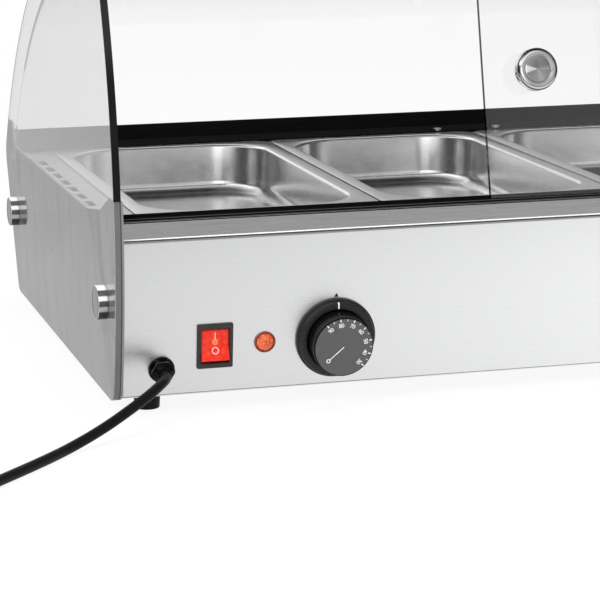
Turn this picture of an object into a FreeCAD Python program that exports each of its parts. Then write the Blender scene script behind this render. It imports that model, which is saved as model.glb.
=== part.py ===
import FreeCAD, Part
import math
import os

import Sketcher

Vector = FreeCAD.Vector

# Heated buffet display with a curved front glass, sliding rear doors and four one-third pans.
# Lengths are in millimetres and angles in degrees. Inside the script a place is measured from
# the cabinet corner: X from the outer face of the left side glass, Y from the foot of the
# control panel towards the customer, and Z from the lower edge of the housing.

SIZES = {
    # pans and overall width
    "pan_count": 4,
    "pan_width": 176.0,
    "pan_gap": 2.0,
    "pan_depth": 325.0,
    "pan_height": 40.0,
    "pan_sheet": 1.0,
    "pan_rim": 12.0,
    "pan_corner": 40.0,
    "pan_floor_round": 10.0,
    "pan_rim_corner": 12.0,
    "pan_near": 36.0,
    "side_margin": 27.0,
    # side glass outline
    "side_glass": 5.0,
    "near_arc": 400.0,
    "near_edge_y": -20.0,
    "near_arc_drop": 3.0,
    "crown_rise": 22.0,
    "kink_drop": 9.0,
    "glass_foot_gap": 37.0,
    "low_corner": 12.0,
    "top_corner": 14.0,
    "kink_round": 20.0,
    "trim_depth": 0.8,
    "trim_gap": 0.3,
    # black side plate
    "side_plate": 1.5,
    "plate_near_rise": 21.0,
    "plate_step_y": -1.0,
    "plate_middle_y": 33.0,
    "plate_middle_rise": 7.5,
    "plate_slope_y": 84.0,
    "plate_far_rise": 19.0,
    "plate_far_step": 8.0,
    # housing
    "sheet": 1.0,
    "end_gap": 0.2,
    "spacer_long": 2.5,
    "foot_height": 13.0,
    "foot_radius": 9.6,
    "foot_low_radius": 8.8,
    "foot_inset_x": 30.2,
    "foot_near_y": 30.0,
    "foot_far_inset": 31.2,
    "panel_foot_y": 7.25,
    "panel_tilt": 7.0,
    "deck_z": 120.0,
    "deck_near_y": -9.0,
    "deck_overhang": 2.4,
    "fascia_drop": 7.5,
    "hem_rise": 4.6,
    "rear_lip": 8.0,
    "customer_foot_gap": 25.2,
    "customer_top_gap": 70.6,
    "fold": 8.5,
    "slot_width": 6.0,
    "slot_length": 22.0,
    "slot_pitch": 33.0,
    "slot_count": 7,
    "slot_first_inset": 67.5,
    "slot_inset": 4.5,
    # heating tub
    "ledge": 7.0,
    "tub_gap": 19.3,
    "bar_width": 12.0,
    "bar_height": 2.0,
    "element_radius": 4.0,
    "element_rise": 10.0,
    "element_near_inset": 84.0,
    "element_far_inset": 81.0,
    "element_end_reach": 11.0,
    "element_middle_gap": 33.0,
    # glass guard towards the customer
    "guard_glass": 5.0,
    "guard_foot_inset": 14.88,
    "guard_foot_rise": 5.8,
    "slot_play": 0.4,
    "channel_gap": 2.0,
    "channel_tread": 33.0,
    "channel_thick": 22.0,
    "channel_foot": 2.0,
    "channel_rise": 13.5,
    # sliding doors and their tracks
    "door_glass": 4.0,
    "door_lean": 12.3,
    "door_overlap": 27.0,
    "door_length": 164.6,
    "door_play": 0.3,
    "left_door_open": 269.5,
    "door_end_play": 7.5,
    "track_near_y": -3.0,
    "track_rib": 2.5,
    "track_groove": 8.25,
    "track_floor": 0.85,
    "track_height": 4.5,
    "track_flange": 3.8,
    "track_flange_high": 3.0,
    "door_in_track": 8.84,
    "upper_groove": 10.0,
    "upper_rib": 2.5,
    # top beam and cover
    "beam_gap": 7.27,
    "beam_deep": 44.0,
    "beam_rise": 9.0,
    "beam_high": 19.0,
    "crown_inset": 22.7,
    "guard_top_inset": 24.5,
    "guard_in_beam": 8.4,
    "cover_sheet": 1.2,
    # door knobs
    "knob_inset": 34.1,
    "knob_along": 90.4,
    "knob_head_radius": 14.2,
    "knob_neck_radius": 10.6,
    "knob_neck": 11.0,
    "knob_length": 20.0,
    "knob_dish_radius": 8.5,
    # fixings of the side glasses
    "cap_radius": 11.75,
    "cap_length": 7.0,
    "stud_radius": 3.0,
    "stud_play": 0.2,
    "bushing_radius": 5.0,
    "fix_near_y": 18.0,
    "fix_near_z": 66.2,
    "fix_far_inset": 3.0,
    "fix_far_z": 67.0,
    "fix_top_inset": 12.0,
    "fix_top_rise": 9.5,
    # switch
    "switch_x": 72.9,
    "switch_up": 34.15,
    "rocker_width": 19.4,
    "rocker_radius": 12.0,
    "rocker_angle": 11.0,
    "rocker_pivot": 3.0,
    "rocker_play": 0.3,
    "pivot_radius": 1.5,
    "switch_side_wall": 0.9,
    "switch_end_wall": 1.6,
    "switch_body_depth": 24.0,
    "bezel_side_lip": 1.8,
    "bezel_end_lip": 2.1,
    "bezel_rise": 2.0,
    # pilot lamp
    "lamp_x": 108.4,
    "lamp_up": 34.4,
    "lamp_barrel": 5.9,
    "lamp_lip": 1.6,
    "lamp_depth": 20.0,
    # thermostat
    "dial_x": 159.0,
    "dial_up": 34.5,
    "dial_radius": 21.3,
    "dial_front": 22.0,
    "dial_back": 3.5,
    "dial_gap": 1.0,
    "bezel_ring": 4.7,
    "bezel_flange": 1.6,
    "bezel_thick": 7.0,
    "shaft_radius": 3.0,
    "shaft_play": 0.05,
    "regulator_width": 34.0,
    "regulator_height": 40.0,
    "regulator_depth": 32.0,
    # gland and cord
    "gland_x": 35.5,
    "gland_up": 19.5,
    "gland_shoulder": 1.9,
    "gland_wall": 2.5,
    "gland_body": 3.5,
    "gland_length": 10.5,
    "cord_radius": 3.5,
    "coil_layer_gap": 0.7,
    "coil_mean_radius": 40.0,
    "coil_lift": 1.0,
}

COIL_TURNS_PER_LAYER = 2.75
COIL_CLIMB_TURNS = 0.5
COIL_START_ANGLE = -43.0
COIL_CENTRE = (-167.0, -137.0)

doc = FreeCAD.newDocument("buffet_display")
sheet = doc.addObject("Spreadsheet::Sheet", "Sizes")
for row, (alias, amount) in enumerate(SIZES.items(), start=1):
    sheet.set("A%d" % row, alias)
    sheet.set("B%d" % row, str(amount))
    sheet.setAlias("B%d" % row, alias)
middle_row = len(SIZES) + 1
sheet.set("A%d" % middle_row, "middle_y")
sheet.set("B%d" % middle_row, "0")
sheet.setAlias("B%d" % middle_row, "middle_y")
doc.recompute()


class Dim:
    """A number together with the sheet formula that it comes from."""

    def __init__(self, value, formula):
        self.value = float(value)
        self.formula = formula

    def __add__(self, other):
        return Dim(self.value + number(other), "(%s + %s)" % (self.formula, formula(other)))

    def __radd__(self, other):
        return Dim(number(other) + self.value, "(%s + %s)" % (formula(other), self.formula))

    def __sub__(self, other):
        return Dim(self.value - number(other), "(%s - %s)" % (self.formula, formula(other)))

    def __rsub__(self, other):
        return Dim(number(other) - self.value, "(%s - %s)" % (formula(other), self.formula))

    def __mul__(self, other):
        return Dim(self.value * number(other), "(%s * %s)" % (self.formula, formula(other)))

    def __rmul__(self, other):
        return Dim(number(other) * self.value, "(%s * %s)" % (formula(other), self.formula))

    def __truediv__(self, other):
        return Dim(self.value / number(other), "(%s / %s)" % (self.formula, formula(other)))

    def __rtruediv__(self, other):
        return Dim(number(other) / self.value, "(%s / %s)" % (formula(other), self.formula))

    def __neg__(self):
        return Dim(-self.value, "(-%s)" % self.formula)


def number(item):
    return item.value if isinstance(item, Dim) else float(item)


def formula(item):
    if isinstance(item, Dim):
        return item.formula
    return "(%r)" % float(item)


def root(item):
    return Dim(math.sqrt(number(item)), "sqrt(%s)" % formula(item))


def sine(angle):
    return Dim(math.sin(math.radians(number(angle))), "sin(%s * 1 deg)" % formula(angle))


def cosine(angle):
    return Dim(math.cos(math.radians(number(angle))), "cos(%s * 1 deg)" % formula(angle))


def tangent(angle):
    return sine(angle) / cosine(angle)


class Sheet:
    """The driving sizes, each under its own name."""


size = Sheet()
for alias, amount in SIZES.items():
    setattr(size, alias, Dim(amount, "Sizes." + alias))
middle_y = Dim(0, "Sizes.middle_y")

# Sizes that follow from the driving ones. The longer ones keep a name of their own in the document.

worked = doc.addObject("App::VarSet", "Worked")


def work_out(alias, amount):
    """Keep a worked-out size in the document under its own name."""
    worked.addProperty("App::PropertyFloat", alias, "Worked")
    worked.setExpression(alias, amount.formula)
    setattr(size, alias, Dim(amount.value, "Worked." + alias))


PLAY = 0.2

pan_pitch = size.pan_width + size.pan_gap
width = 2 * size.side_margin + size.pan_count * pan_pitch
pan_far = size.pan_near + size.pan_depth
tilt_slope = tangent(size.panel_tilt)
deck_under = size.deck_z - size.sheet
rim_z = size.deck_z + 0.3
deck_end = size.side_glass + size.side_plate + size.end_gap
panel_end = size.side_glass + size.side_plate + size.spacer_long

customer_foot_y = pan_far + size.customer_foot_gap
customer_top_y = pan_far + size.customer_top_gap
deck_far_y = customer_top_y + size.deck_overhang
glass_foot_y = pan_far + size.glass_foot_gap
foot_far_y = customer_foot_y - size.foot_far_inset
channel_foot_y = pan_far + size.channel_gap
channel_face_y = channel_foot_y + size.channel_tread
channel_back_y = channel_face_y + size.channel_thick
channel_top_z = size.deck_z + size.channel_rise
plate_near_z = size.deck_z + size.plate_near_rise
plate_far_z = size.deck_z + size.plate_far_rise
kink_z = size.deck_z - size.kink_drop
near_arc_y = size.near_edge_y + size.near_arc
near_arc_z = size.deck_z - size.near_arc_drop

tub_floor_z = rim_z + size.pan_sheet - size.pan_height - size.tub_gap
element_z = tub_floor_z + size.element_rise
element_near_y = size.pan_near + size.element_near_inset
element_far_y = pan_far - size.element_far_inset

# Doors lean from the lower track to the upper one, which sets where the beam and the guard lie
lean_slope = tangent(size.door_lean)
groove_pitch = size.track_rib + size.track_groove
inner_groove_y = size.track_near_y + size.track_rib + groove_pitch + size.track_groove / 2
door_base_z = size.deck_z + size.track_floor + size.door_play + size.door_glass * sine(size.door_lean)
work_out("upper_low_z", door_base_z + size.door_length * cosine(size.door_lean) - size.door_in_track)
upper_z = size.upper_low_z + size.upper_groove / 2
work_out("upper_centre", inner_groove_y + (upper_z - door_base_z) * lean_slope)
beam_near_y = size.upper_centre + size.track_groove / 2 + size.beam_gap
beam_far_y = beam_near_y + size.beam_deep
beam_low_z = size.upper_low_z + size.beam_rise
beam_top_z = beam_low_z + size.beam_high

# The guard is an arc that rises from its foot in the channel to level at the crown in the beam
guard_foot_y = channel_face_y + size.guard_foot_inset
guard_foot_z = size.deck_z + size.guard_foot_rise
guard_top_z = beam_low_z + size.guard_in_beam
work_out("crown_y", beam_near_y + size.crown_inset)
guard_run = guard_foot_y - size.crown_y
guard_climb = guard_top_z - guard_foot_z
work_out("guard_radius", (guard_run * guard_run + guard_climb * guard_climb) / (2 * guard_climb))
work_out("crown_z", guard_top_z - size.guard_radius)
crown_arc = size.guard_radius + size.crown_rise


def arc_y(centre_y, centre_z, radius, z, side):
    """Y of a circle of the side outline at height z, on its near (-1) or far (+1) side."""
    rise = z - centre_z
    return centre_y + side * root(radius * radius - rise * rise)


def near_edge(z, outward=0.0):
    return arc_y(near_arc_y, near_arc_z, size.near_arc + outward, z, -1)


def crown_edge(z):
    return arc_y(size.crown_y, size.crown_z, crown_arc, z, 1)


# Helpers that make bound objects

def bind(thing, prop, amount):
    if isinstance(amount, Dim):
        thing.setExpression(prop, amount.formula)
    else:
        setattr(thing, prop, amount)


def put(thing, x, y, z, turn_x=0.0, axis=Vector(1, 0, 0)):
    """Place an object at a point, turned about one axis by turn_x degrees."""
    rotation = FreeCAD.Rotation(axis, number(turn_x))
    thing.Placement = FreeCAD.Placement(Vector(number(x), number(y), number(z)), rotation)
    for name, amount in (("x", x), ("y", y), ("z", z)):
        if isinstance(amount, Dim):
            thing.setExpression("Placement.Base." + name, amount.formula)
    if isinstance(turn_x, Dim):
        thing.setExpression("Placement.Rotation.Angle", turn_x.formula)
    return thing


def box(x, y, z, long, deep, high):
    block = doc.addObject("Part::Box", "block")
    bind(block, "Length", long)
    bind(block, "Width", deep)
    bind(block, "Height", high)
    return put(block, x, y, z)


def rod(x, y, z, radius, long, along="z"):
    """A cylinder that starts at a point and runs along +X, -Y or +Z."""
    cylinder = doc.addObject("Part::Cylinder", "rod")
    bind(cylinder, "Radius", radius)
    bind(cylinder, "Height", long)
    if along == "x":
        return put(cylinder, x, y, z, 90.0, Vector(0, 1, 0))
    if along == "-y":
        return put(cylinder, x, y, z, 90.0)
    return put(cylinder, x, y, z)


def hexagon(radius, long, z=0.0):
    prism = doc.addObject("Part::Prism", "hexagon")
    prism.Polygon = 6
    bind(prism, "Circumradius", radius)
    bind(prism, "Height", long)
    return put(prism, 0, 0, z)


def join(*things):
    fused = doc.addObject("Part::MultiFuse", "joined")
    fused.Shapes = list(things)
    return fused


def group(*things):
    bundle = doc.addObject("Part::Compound", "group")
    bundle.Links = list(things)
    return bundle


def cut(base, *tools):
    result = doc.addObject("Part::Cut", "cut")
    result.Base = base
    result.Tool = tools[0] if len(tools) == 1 else join(*tools)
    return result


def origin_plane(body, role):
    return [item for item in body.Origin.OriginFeatures if item.Role == role][0]


def fill_sketch(sketch, corners, arcs):
    """Draw a closed outline; arcs gives, by corner number, the centre and radius of the edge
    from that corner to the next."""
    count = len(corners)
    for index, corner in enumerate(corners):
        after = corners[(index + 1) % count]
        start = Vector(number(corner[0]), number(corner[1]), 0)
        end = Vector(number(after[0]), number(after[1]), 0)
        if index not in arcs:
            sketch.addGeometry(Part.LineSegment(start, end), False)
            continue
        centre = Vector(number(arcs[index][0]), number(arcs[index][1]), 0)
        radius = number(arcs[index][2])
        middle = (start + end) * 0.5 - centre
        middle = centre + middle * (radius / middle.Length)
        sketch.addGeometry(Part.Arc(start, middle, end), False)
    turned_round = arc_ends(sketch, corners)
    for index, corner in enumerate(corners):
        after = (index + 1) % count
        end = 1 if index in turned_round else 2
        begin_after = 2 if after in turned_round else 1
        sketch.addConstraint(Sketcher.Constraint("Coincident", index, end, after, begin_after))
        begin = 2 if index in turned_round else 1
        for kind, amount in (("DistanceX", corner[0]), ("DistanceY", corner[1])):
            fixed = Sketcher.Constraint(kind, -1, 1, index, begin, number(amount))
            constraint = sketch.addConstraint(fixed)
            if isinstance(amount, Dim):
                sketch.setExpression("Constraints[%d]" % constraint, amount.formula)
    for index, arc in arcs.items():
        constraint = sketch.addConstraint(Sketcher.Constraint("Radius", index, number(arc[2])))
        if isinstance(arc[2], Dim):
            sketch.setExpression("Constraints[%d]" % constraint, arc[2].formula)


def arc_ends(sketch, corners):
    """Edges that the sketch stores back to front, as it does with clockwise arcs."""
    reversed_edges = set()
    for index, corner in enumerate(corners):
        stored = sketch.getPoint(index, 1)
        if math.hypot(stored.x - number(corner[0]), stored.y - number(corner[1])) > 1e-4:
            reversed_edges.add(index)
    return reversed_edges


def padded(role, corners, long, arcs=None):
    """A body that is one outline on an origin plane, padded by a length."""
    body = doc.addObject("PartDesign::Body", "body")
    sketch = body.newObject("Sketcher::SketchObject", "outline")
    sketch.AttachmentSupport = [(origin_plane(body, role), "")]
    sketch.MapMode = "FlatFace"
    fill_sketch(sketch, corners, arcs or {})
    pad = body.newObject("PartDesign::Pad", "pad")
    pad.Profile = sketch
    bind(pad, "Length", long)
    doc.recompute()
    return body


def turned(corners, arcs=None):
    """A body of revolution about its own Z axis, from corners given as radius and height."""
    body = doc.addObject("PartDesign::Body", "turned")
    sketch = body.newObject("Sketcher::SketchObject", "outline")
    sketch.AttachmentSupport = [(origin_plane(body, "XZ_Plane"), "")]
    sketch.MapMode = "FlatFace"
    fill_sketch(sketch, corners, arcs or {})
    spin = body.newObject("PartDesign::Revolution", "spin")
    spin.Profile = sketch
    spin.ReferenceAxis = (sketch, ["V_Axis"])
    spin.Angle = 360.0
    doc.recompute()
    return body


def rounded(body, wanted, radius):
    """Fillet the edges of a body that a test picks."""
    feature = body.Tip
    names = ["Edge%d" % (index + 1) for index, edge in enumerate(feature.Shape.Edges)
             if wanted(edge)]
    fillet = body.newObject("PartDesign::Fillet", "fillet")
    fillet.Base = (feature, names)
    bind(fillet, "Radius", radius)
    doc.recompute()
    return body


def edge_along_x(y, z):
    """A test for the straight edge along X that passes a point of the outline."""
    def test(edge):
        ends = [vertex.Point for vertex in edge.Vertexes]
        if len(ends) != 2 or abs(ends[0].x - ends[1].x) < 1.0:
            return False
        return math.hypot(ends[0].y - number(y), ends[0].z - number(z)) < 0.01
    return test


nodes = {}
cord_nodes = []


def node(thing, name, x=0.0, y=0.0, z=0.0, turn=0.0):
    """Name a sub-part and set it at its place in the part's own frame."""
    thing.Label = name
    put(thing, x - width / 2, y - middle_y, z + size.foot_height, turn)
    nodes[name] = thing
    return thing


def face_place(thing, x, up, out=0.0, turn=0.0):
    """Place a control on the tilted panel: x along it, up along its face, out from it."""
    y = size.panel_foot_y - up * sine(size.panel_tilt) - out * cosine(size.panel_tilt)
    z = up * cosine(size.panel_tilt) - out * sine(size.panel_tilt)
    return put(thing, x, y, z, 90.0 + size.panel_tilt - turn)


def face_node(thing, name, x, up, out=0.0, turn=0.0):
    y = size.panel_foot_y - up * sine(size.panel_tilt) - out * cosine(size.panel_tilt)
    z = up * cosine(size.panel_tilt) - out * sine(size.panel_tilt)
    return node(thing, name, x, y, z, 90.0 + size.panel_tilt - turn)


# Side glasses, their black lower plates and edge trims

top_z = size.crown_z + crown_arc
fix_top_y = beam_near_y + size.fix_top_inset
fix_top_z = beam_low_z + size.fix_top_rise
FIXINGS = (
    (size.fix_near_y, size.fix_near_z),
    (glass_foot_y - size.fix_far_inset, size.fix_far_z),
    (fix_top_y, fix_top_z),
)


def side_glass(name, x):
    low_near = (near_edge(0 * size.sheet), 0 * size.sheet)
    low_far = (glass_foot_y, 0 * size.sheet)
    kink = (crown_edge(kink_z), kink_z)
    summit = (size.crown_y, top_z)
    top_near = (near_edge(top_z), top_z)
    arcs = {2: (size.crown_y, size.crown_z, crown_arc),
            4: (near_arc_y, near_arc_z, size.near_arc)}
    pane = padded("YZ_Plane", [low_near, low_far, kink, summit, top_near], size.side_glass, arcs)
    for corner, radius in ((low_near, size.low_corner), (low_far, size.low_corner),
                           (kink, size.kink_round), (top_near, size.top_corner)):
        rounded(pane, edge_along_x(*corner), radius)
    holes = [rod(-1, y, z, size.bushing_radius, size.side_glass + 2, "x") for y, z in FIXINGS]
    return node(cut(pane, *holes), name, x)


def side_plate(name, x):
    low_near = (near_edge(0 * size.sheet), 0 * size.sheet)
    low_far = (glass_foot_y, 0 * size.sheet)
    kink = (crown_edge(kink_z), kink_z)
    far_top = (crown_edge(plate_far_z), plate_far_z)
    rise_y = channel_face_y + size.plate_far_step
    corners = [low_near, low_far, kink, far_top,
               (rise_y + size.plate_far_step, plate_far_z),
               (rise_y, size.deck_z),
               (size.plate_slope_y, size.deck_z),
               (size.plate_middle_y, size.deck_z + size.plate_middle_rise),
               (size.plate_step_y, plate_near_z),
               (near_edge(plate_near_z), plate_near_z)]
    arcs = {2: (size.crown_y, size.crown_z, crown_arc),
            9: (near_arc_y, near_arc_z, size.near_arc)}
    plate = padded("YZ_Plane", corners, size.side_plate, arcs)
    for corner, radius in ((low_near, size.low_corner), (low_far, size.low_corner),
                           (kink, size.kink_round)):
        rounded(plate, edge_along_x(*corner), radius)
    holes = [rod(-1, y, z, size.stud_radius + size.stud_play, size.side_plate + 2, "x")
             for y, z in FIXINGS[:2]]
    return node(cut(plate, *holes), name, x)


def edge_trim(x):
    low = plate_near_z + size.trim_gap
    high = beam_low_z + size.beam_rise
    corners = [(near_edge(low), low), (near_edge(high), high),
               (near_edge(high, size.trim_depth), high), (near_edge(low, size.trim_depth), low)]
    arcs = {0: (near_arc_y, near_arc_z, size.near_arc),
            2: (near_arc_y, near_arc_z, size.near_arc + size.trim_depth)}
    return put(padded("YZ_Plane", corners, size.side_glass, arcs), x, 0.0, 0.0)


side_glass("side_glass_left", 0.0)
side_glass("side_glass_right", width - size.side_glass)
side_plate("side_plate_left", size.side_glass)
side_plate("side_plate_right", width - size.side_glass - size.side_plate)
node(group(edge_trim(0.0), edge_trim(width - size.side_glass)), "edge_trims")


# Fixings that clamp each side glass: cap, bushing, spacer, stud and nut

stud_hole = size.stud_radius + size.stud_play
NUT_LONG = 5.0
NUT_RADIUS = 5.8
STUD_IN_CAP = 5.0
TOP_STUD_LONG = 20.0


def lengthwise(start, long, mirrored):
    """X where a piece starts, on the left side or mirrored to the right side."""
    return width - start - long if mirrored else start


def fixings(mirrored):
    """The pieces that hold one side glass, as lists by the node that they belong to."""
    pieces = {"glass_caps": [], "glass_bushings": [], "glass_studs": [], "stud_nuts": []}

    def ring(start, long, radius, y, z):
        outer = rod(lengthwise(start, long, mirrored), y, z, radius, long, "x")
        bore = rod(lengthwise(start - 1, long + 2, mirrored), y, z, stud_hole, long + 2, "x")
        return cut(outer, bore)

    for index, (y, z) in enumerate(FIXINGS):
        cap = rod(lengthwise(-size.cap_length, size.cap_length, mirrored), y, z,
                  size.cap_radius, size.cap_length, "x")
        socket = rod(lengthwise(-STUD_IN_CAP, STUD_IN_CAP, mirrored), y, z, size.stud_radius,
                     STUD_IN_CAP, "x")
        pieces["glass_caps"].append(cut(cap, socket))
        pieces["glass_bushings"].append(ring(0.0, size.side_glass, size.bushing_radius, y, z))
        if index == 2:
            long = STUD_IN_CAP + size.side_glass + TOP_STUD_LONG
        else:
            long = STUD_IN_CAP + panel_end + size.sheet + NUT_LONG + 1
            start = size.side_glass + size.side_plate
            spacer = ring(start, size.spacer_long, size.cap_radius - 3, y, z)
            pieces["glass_bushings"].append(spacer)
            nut_start = lengthwise(panel_end + size.sheet, NUT_LONG, mirrored)
            nut = doc.addObject("Part::Prism", "nut")
            nut.Polygon = 6
            nut.Circumradius = NUT_RADIUS
            nut.Height = NUT_LONG
            put(nut, nut_start, y, z, 90.0, Vector(0, 1, 0))
            thread = rod(nut_start - 1, y, z, size.stud_radius, NUT_LONG + 2, "x")
            pieces["stud_nuts"].append(cut(nut, thread))
        pieces["glass_studs"].append(rod(lengthwise(-STUD_IN_CAP, long, mirrored), y, z,
                                         size.stud_radius, long, "x"))
    return pieces


left_fixings = fixings(False)
right_fixings = fixings(True)
for name in left_fixings:
    node(group(*left_fixings[name], *right_fixings[name]), name)


# Housing of folded steel sheet

def panel_y(z, inward=0.0):
    """Y of the control panel's outer face at height z, or of a face that far inside it."""
    return size.panel_foot_y - tilt_slope * z + inward / cosine(size.panel_tilt)


customer_slope = (customer_top_y - customer_foot_y) / deck_under


def customer_y(z, inward=0.0):
    return customer_foot_y + customer_slope * z - inward * root(
        1 + customer_slope * customer_slope)


SEAT = 0.3
zero = 0 * size.sheet
housing_long = width - 2 * panel_end

panel_blank = padded("YZ_Plane", [
    (panel_y(zero), zero),
    (panel_y(zero) + size.fold, zero),
    (panel_y(zero) + size.fold, size.sheet),
    (panel_y(size.sheet, size.sheet), size.sheet),
    (panel_y(deck_under - SEAT, size.sheet), deck_under - SEAT),
    (panel_y(deck_under - SEAT), deck_under - SEAT)], housing_long)
put(panel_blank, panel_end, 0.0, 0.0)


def panel_hole(x, up, radius):
    """A tool that runs through the tilted panel at a place on its face."""
    return face_place(rod(0, 0, 0, radius, 10.0), x, up, -5.0)


half_cavity_x = size.rocker_width / 2 + size.rocker_play
half_cavity_y = size.rocker_radius + size.rocker_play
switch_body_width = 2 * (half_cavity_x + size.switch_side_wall)
switch_body_height = 2 * (half_cavity_y + size.switch_end_wall)
gland_thread = size.cord_radius + size.gland_wall
switch_hole = doc.addObject("Part::Box", "switch_hole")
bind(switch_hole, "Length", switch_body_width + 2 * PLAY)
bind(switch_hole, "Width", switch_body_height + 2 * PLAY)
switch_hole.Height = 10.0
face_place(switch_hole, size.switch_x - switch_body_width / 2 - PLAY,
           size.switch_up - switch_body_height / 2 - PLAY, -5.0)
SCREW_HALF_PITCH = 14.0
REGULATOR_HOLE = 5.0
M4 = 2.0
edge_screw_y = (size.panel_foot_y + size.fold / 2, customer_foot_y - size.fold / 2)
edge_screws = [(width * share, y) for share in (0.13, 0.38, 0.62, 0.87) for y in edge_screw_y]


SINK_RADIUS = 3.8
SINK_DEEP = 1.8


def sunk_cone(x, y):
    """The cone of a countersunk head that lies flush with the underside."""
    cone = doc.addObject("Part::Cone", "sunk_head")
    cone.Radius1 = SINK_RADIUS
    cone.Radius2 = M4
    cone.Height = SINK_DEEP
    return put(cone, x, y, 0.0)


def edge_screw_holes():
    return [join(sunk_cone(x, y), rod(x, y, SINK_DEEP / 2, M4, 4.0)) for x, y in edge_screws]


control_panel = cut(
    panel_blank,
    switch_hole,
    panel_hole(size.lamp_x, size.lamp_up, size.lamp_barrel + PLAY),
    panel_hole(size.dial_x, size.dial_up, REGULATOR_HOLE),
    panel_hole(size.dial_x - SCREW_HALF_PITCH, size.dial_up, M4 + PLAY),
    panel_hole(size.dial_x + SCREW_HALF_PITCH, size.dial_up, M4 + PLAY),
    panel_hole(size.gland_x, size.gland_up, gland_thread + PLAY),
    *edge_screw_holes())
node(control_panel, "control_panel")

customer_blank = padded("YZ_Plane", [
    (customer_y(zero) - size.fold, zero),
    (customer_y(zero), zero),
    (customer_y(deck_under - SEAT), deck_under - SEAT),
    (customer_y(deck_under - SEAT, size.sheet), deck_under - SEAT),
    (customer_y(size.sheet, size.sheet), size.sheet),
    (customer_y(zero) - size.fold, size.sheet)], housing_long)
put(customer_blank, panel_end, 0.0, 0.0)
node(cut(customer_blank, *edge_screw_holes()), "customer_panel")

plate_near = panel_y(size.sheet, size.sheet) + PLAY
plate_far = customer_y(size.sheet, size.sheet) - PLAY
bottom_blank = box(panel_end, plate_near, size.sheet,
                   housing_long, plate_far - plate_near, size.sheet)

FOOT_PLACES = [(x, y) for x in (size.foot_inset_x, width - size.foot_inset_x)
               for y in (size.foot_near_y, foot_far_y)]
foot_holes = [rod(x, y, 0.0, M4, 5.0) for x, y in FOOT_PLACES]
node(cut(bottom_blank, *foot_holes, *edge_screw_holes()), "bottom_plate")


def end_wall(name, x):
    inner = size.sheet + PLAY
    low = 2 * size.sheet
    corners = [(panel_y(low, inner), low), (customer_y(low, inner), low),
               (customer_y(deck_under, inner), deck_under), (panel_y(deck_under, inner), deck_under)]
    wall = padded("YZ_Plane", corners, size.sheet)
    holes = [rod(-1, y, z, stud_hole, 4.0, "x") for y, z in FIXINGS[:2]]
    return node(cut(wall, *holes), name, x)


end_wall("end_wall_left", panel_end)
end_wall("end_wall_right", width - panel_end - size.sheet)

# Deck with the pan opening and the vent slots, and a hem that stands up over its fascia

deck_long = width - 2 * deck_end
fascia_low_z = size.deck_z - size.fascia_drop
hem_z = size.deck_z + size.hem_rise
deck_blank = padded("YZ_Plane", [
    (size.deck_near_y, fascia_low_z),
    (size.deck_near_y + size.sheet, fascia_low_z),
    (size.deck_near_y + size.sheet, deck_under),
    (deck_far_y - size.sheet, deck_under),
    (deck_far_y - size.sheet, size.deck_z - size.rear_lip),
    (deck_far_y, size.deck_z - size.rear_lip),
    (deck_far_y, size.deck_z),
    (size.deck_near_y + 2 * size.sheet, size.deck_z),
    (size.deck_near_y + 2 * size.sheet, hem_z),
    (size.deck_near_y, hem_z)], deck_long)
put(deck_blank, deck_end, 0.0, 0.0)

well_x = size.side_margin + size.ledge
well_y = size.pan_near + size.ledge
well_long = width - 2 * well_x
well_deep = size.pan_depth - 2 * size.ledge
well_hole = box(well_x, well_y, deck_under - 1, well_long, well_deep, size.sheet + 2)


def vent_slots():
    slots = []
    slot_x = deck_end + size.slot_inset
    for x in (slot_x, width - slot_x):
        for index in range(int(SIZES["slot_count"])):
            y = size.pan_near + size.slot_first_inset + index * size.slot_pitch
            slots.append(box(x - size.slot_width / 2, y - size.slot_length / 2, deck_under - 1,
                             size.slot_width, size.slot_length, size.sheet + 2))
    return slots


CHANNEL_SCREW_HALF = 26.0
channel_screw_y = channel_foot_y + 5
channel_screws = [(width / 2 - CHANNEL_SCREW_HALF, channel_screw_y),
                  (width / 2 + CHANNEL_SCREW_HALF, channel_screw_y)]
deck_screw_holes = [rod(x, y, deck_under - 1, M4, 10.0) for x, y in channel_screws]
node(cut(deck_blank, well_hole, *vent_slots(), *deck_screw_holes), "deck")

# Heating tub under the pans, with the bars that carry the pan rims

tub_high = deck_under - tub_floor_z
tub_outer = box(well_x - size.sheet, well_y - size.sheet, tub_floor_z,
                well_long + 2 * size.sheet, well_deep + 2 * size.sheet, tub_high)
tub_floor = tub_floor_z + size.sheet
tub_inner = box(well_x, well_y, tub_floor, well_long, well_deep, tub_high)
element_radius_play = size.element_radius + 0.5
leg_holes = []
for leg_y in (element_near_y, element_far_y):
    for hole_x in (well_x - 5, width - well_x - 5):
        leg_holes.append(rod(hole_x, leg_y, element_z, element_radius_play, 10.0, "x"))
capillary_x = size.dial_x + 30
capillary_y = well_y + 17.0
capillary_hole = rod(capillary_x, capillary_y, tub_floor_z - 2, 2.0, 5.0)
node(cut(tub_outer, tub_inner, capillary_hole, *leg_holes), "heating_tub")

bars = []
for index in range(1, int(SIZES["pan_count"])):
    centre = size.side_margin + index * pan_pitch
    bars.append(box(centre - size.bar_width / 2, well_y, size.deck_z - size.bar_height,
                    size.bar_width, well_deep, size.bar_height))
node(group(*bars), "pan_support_bars")


# Tubes: straight runs joined by tangent arcs

BEND_SHARE = 0.45


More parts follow.
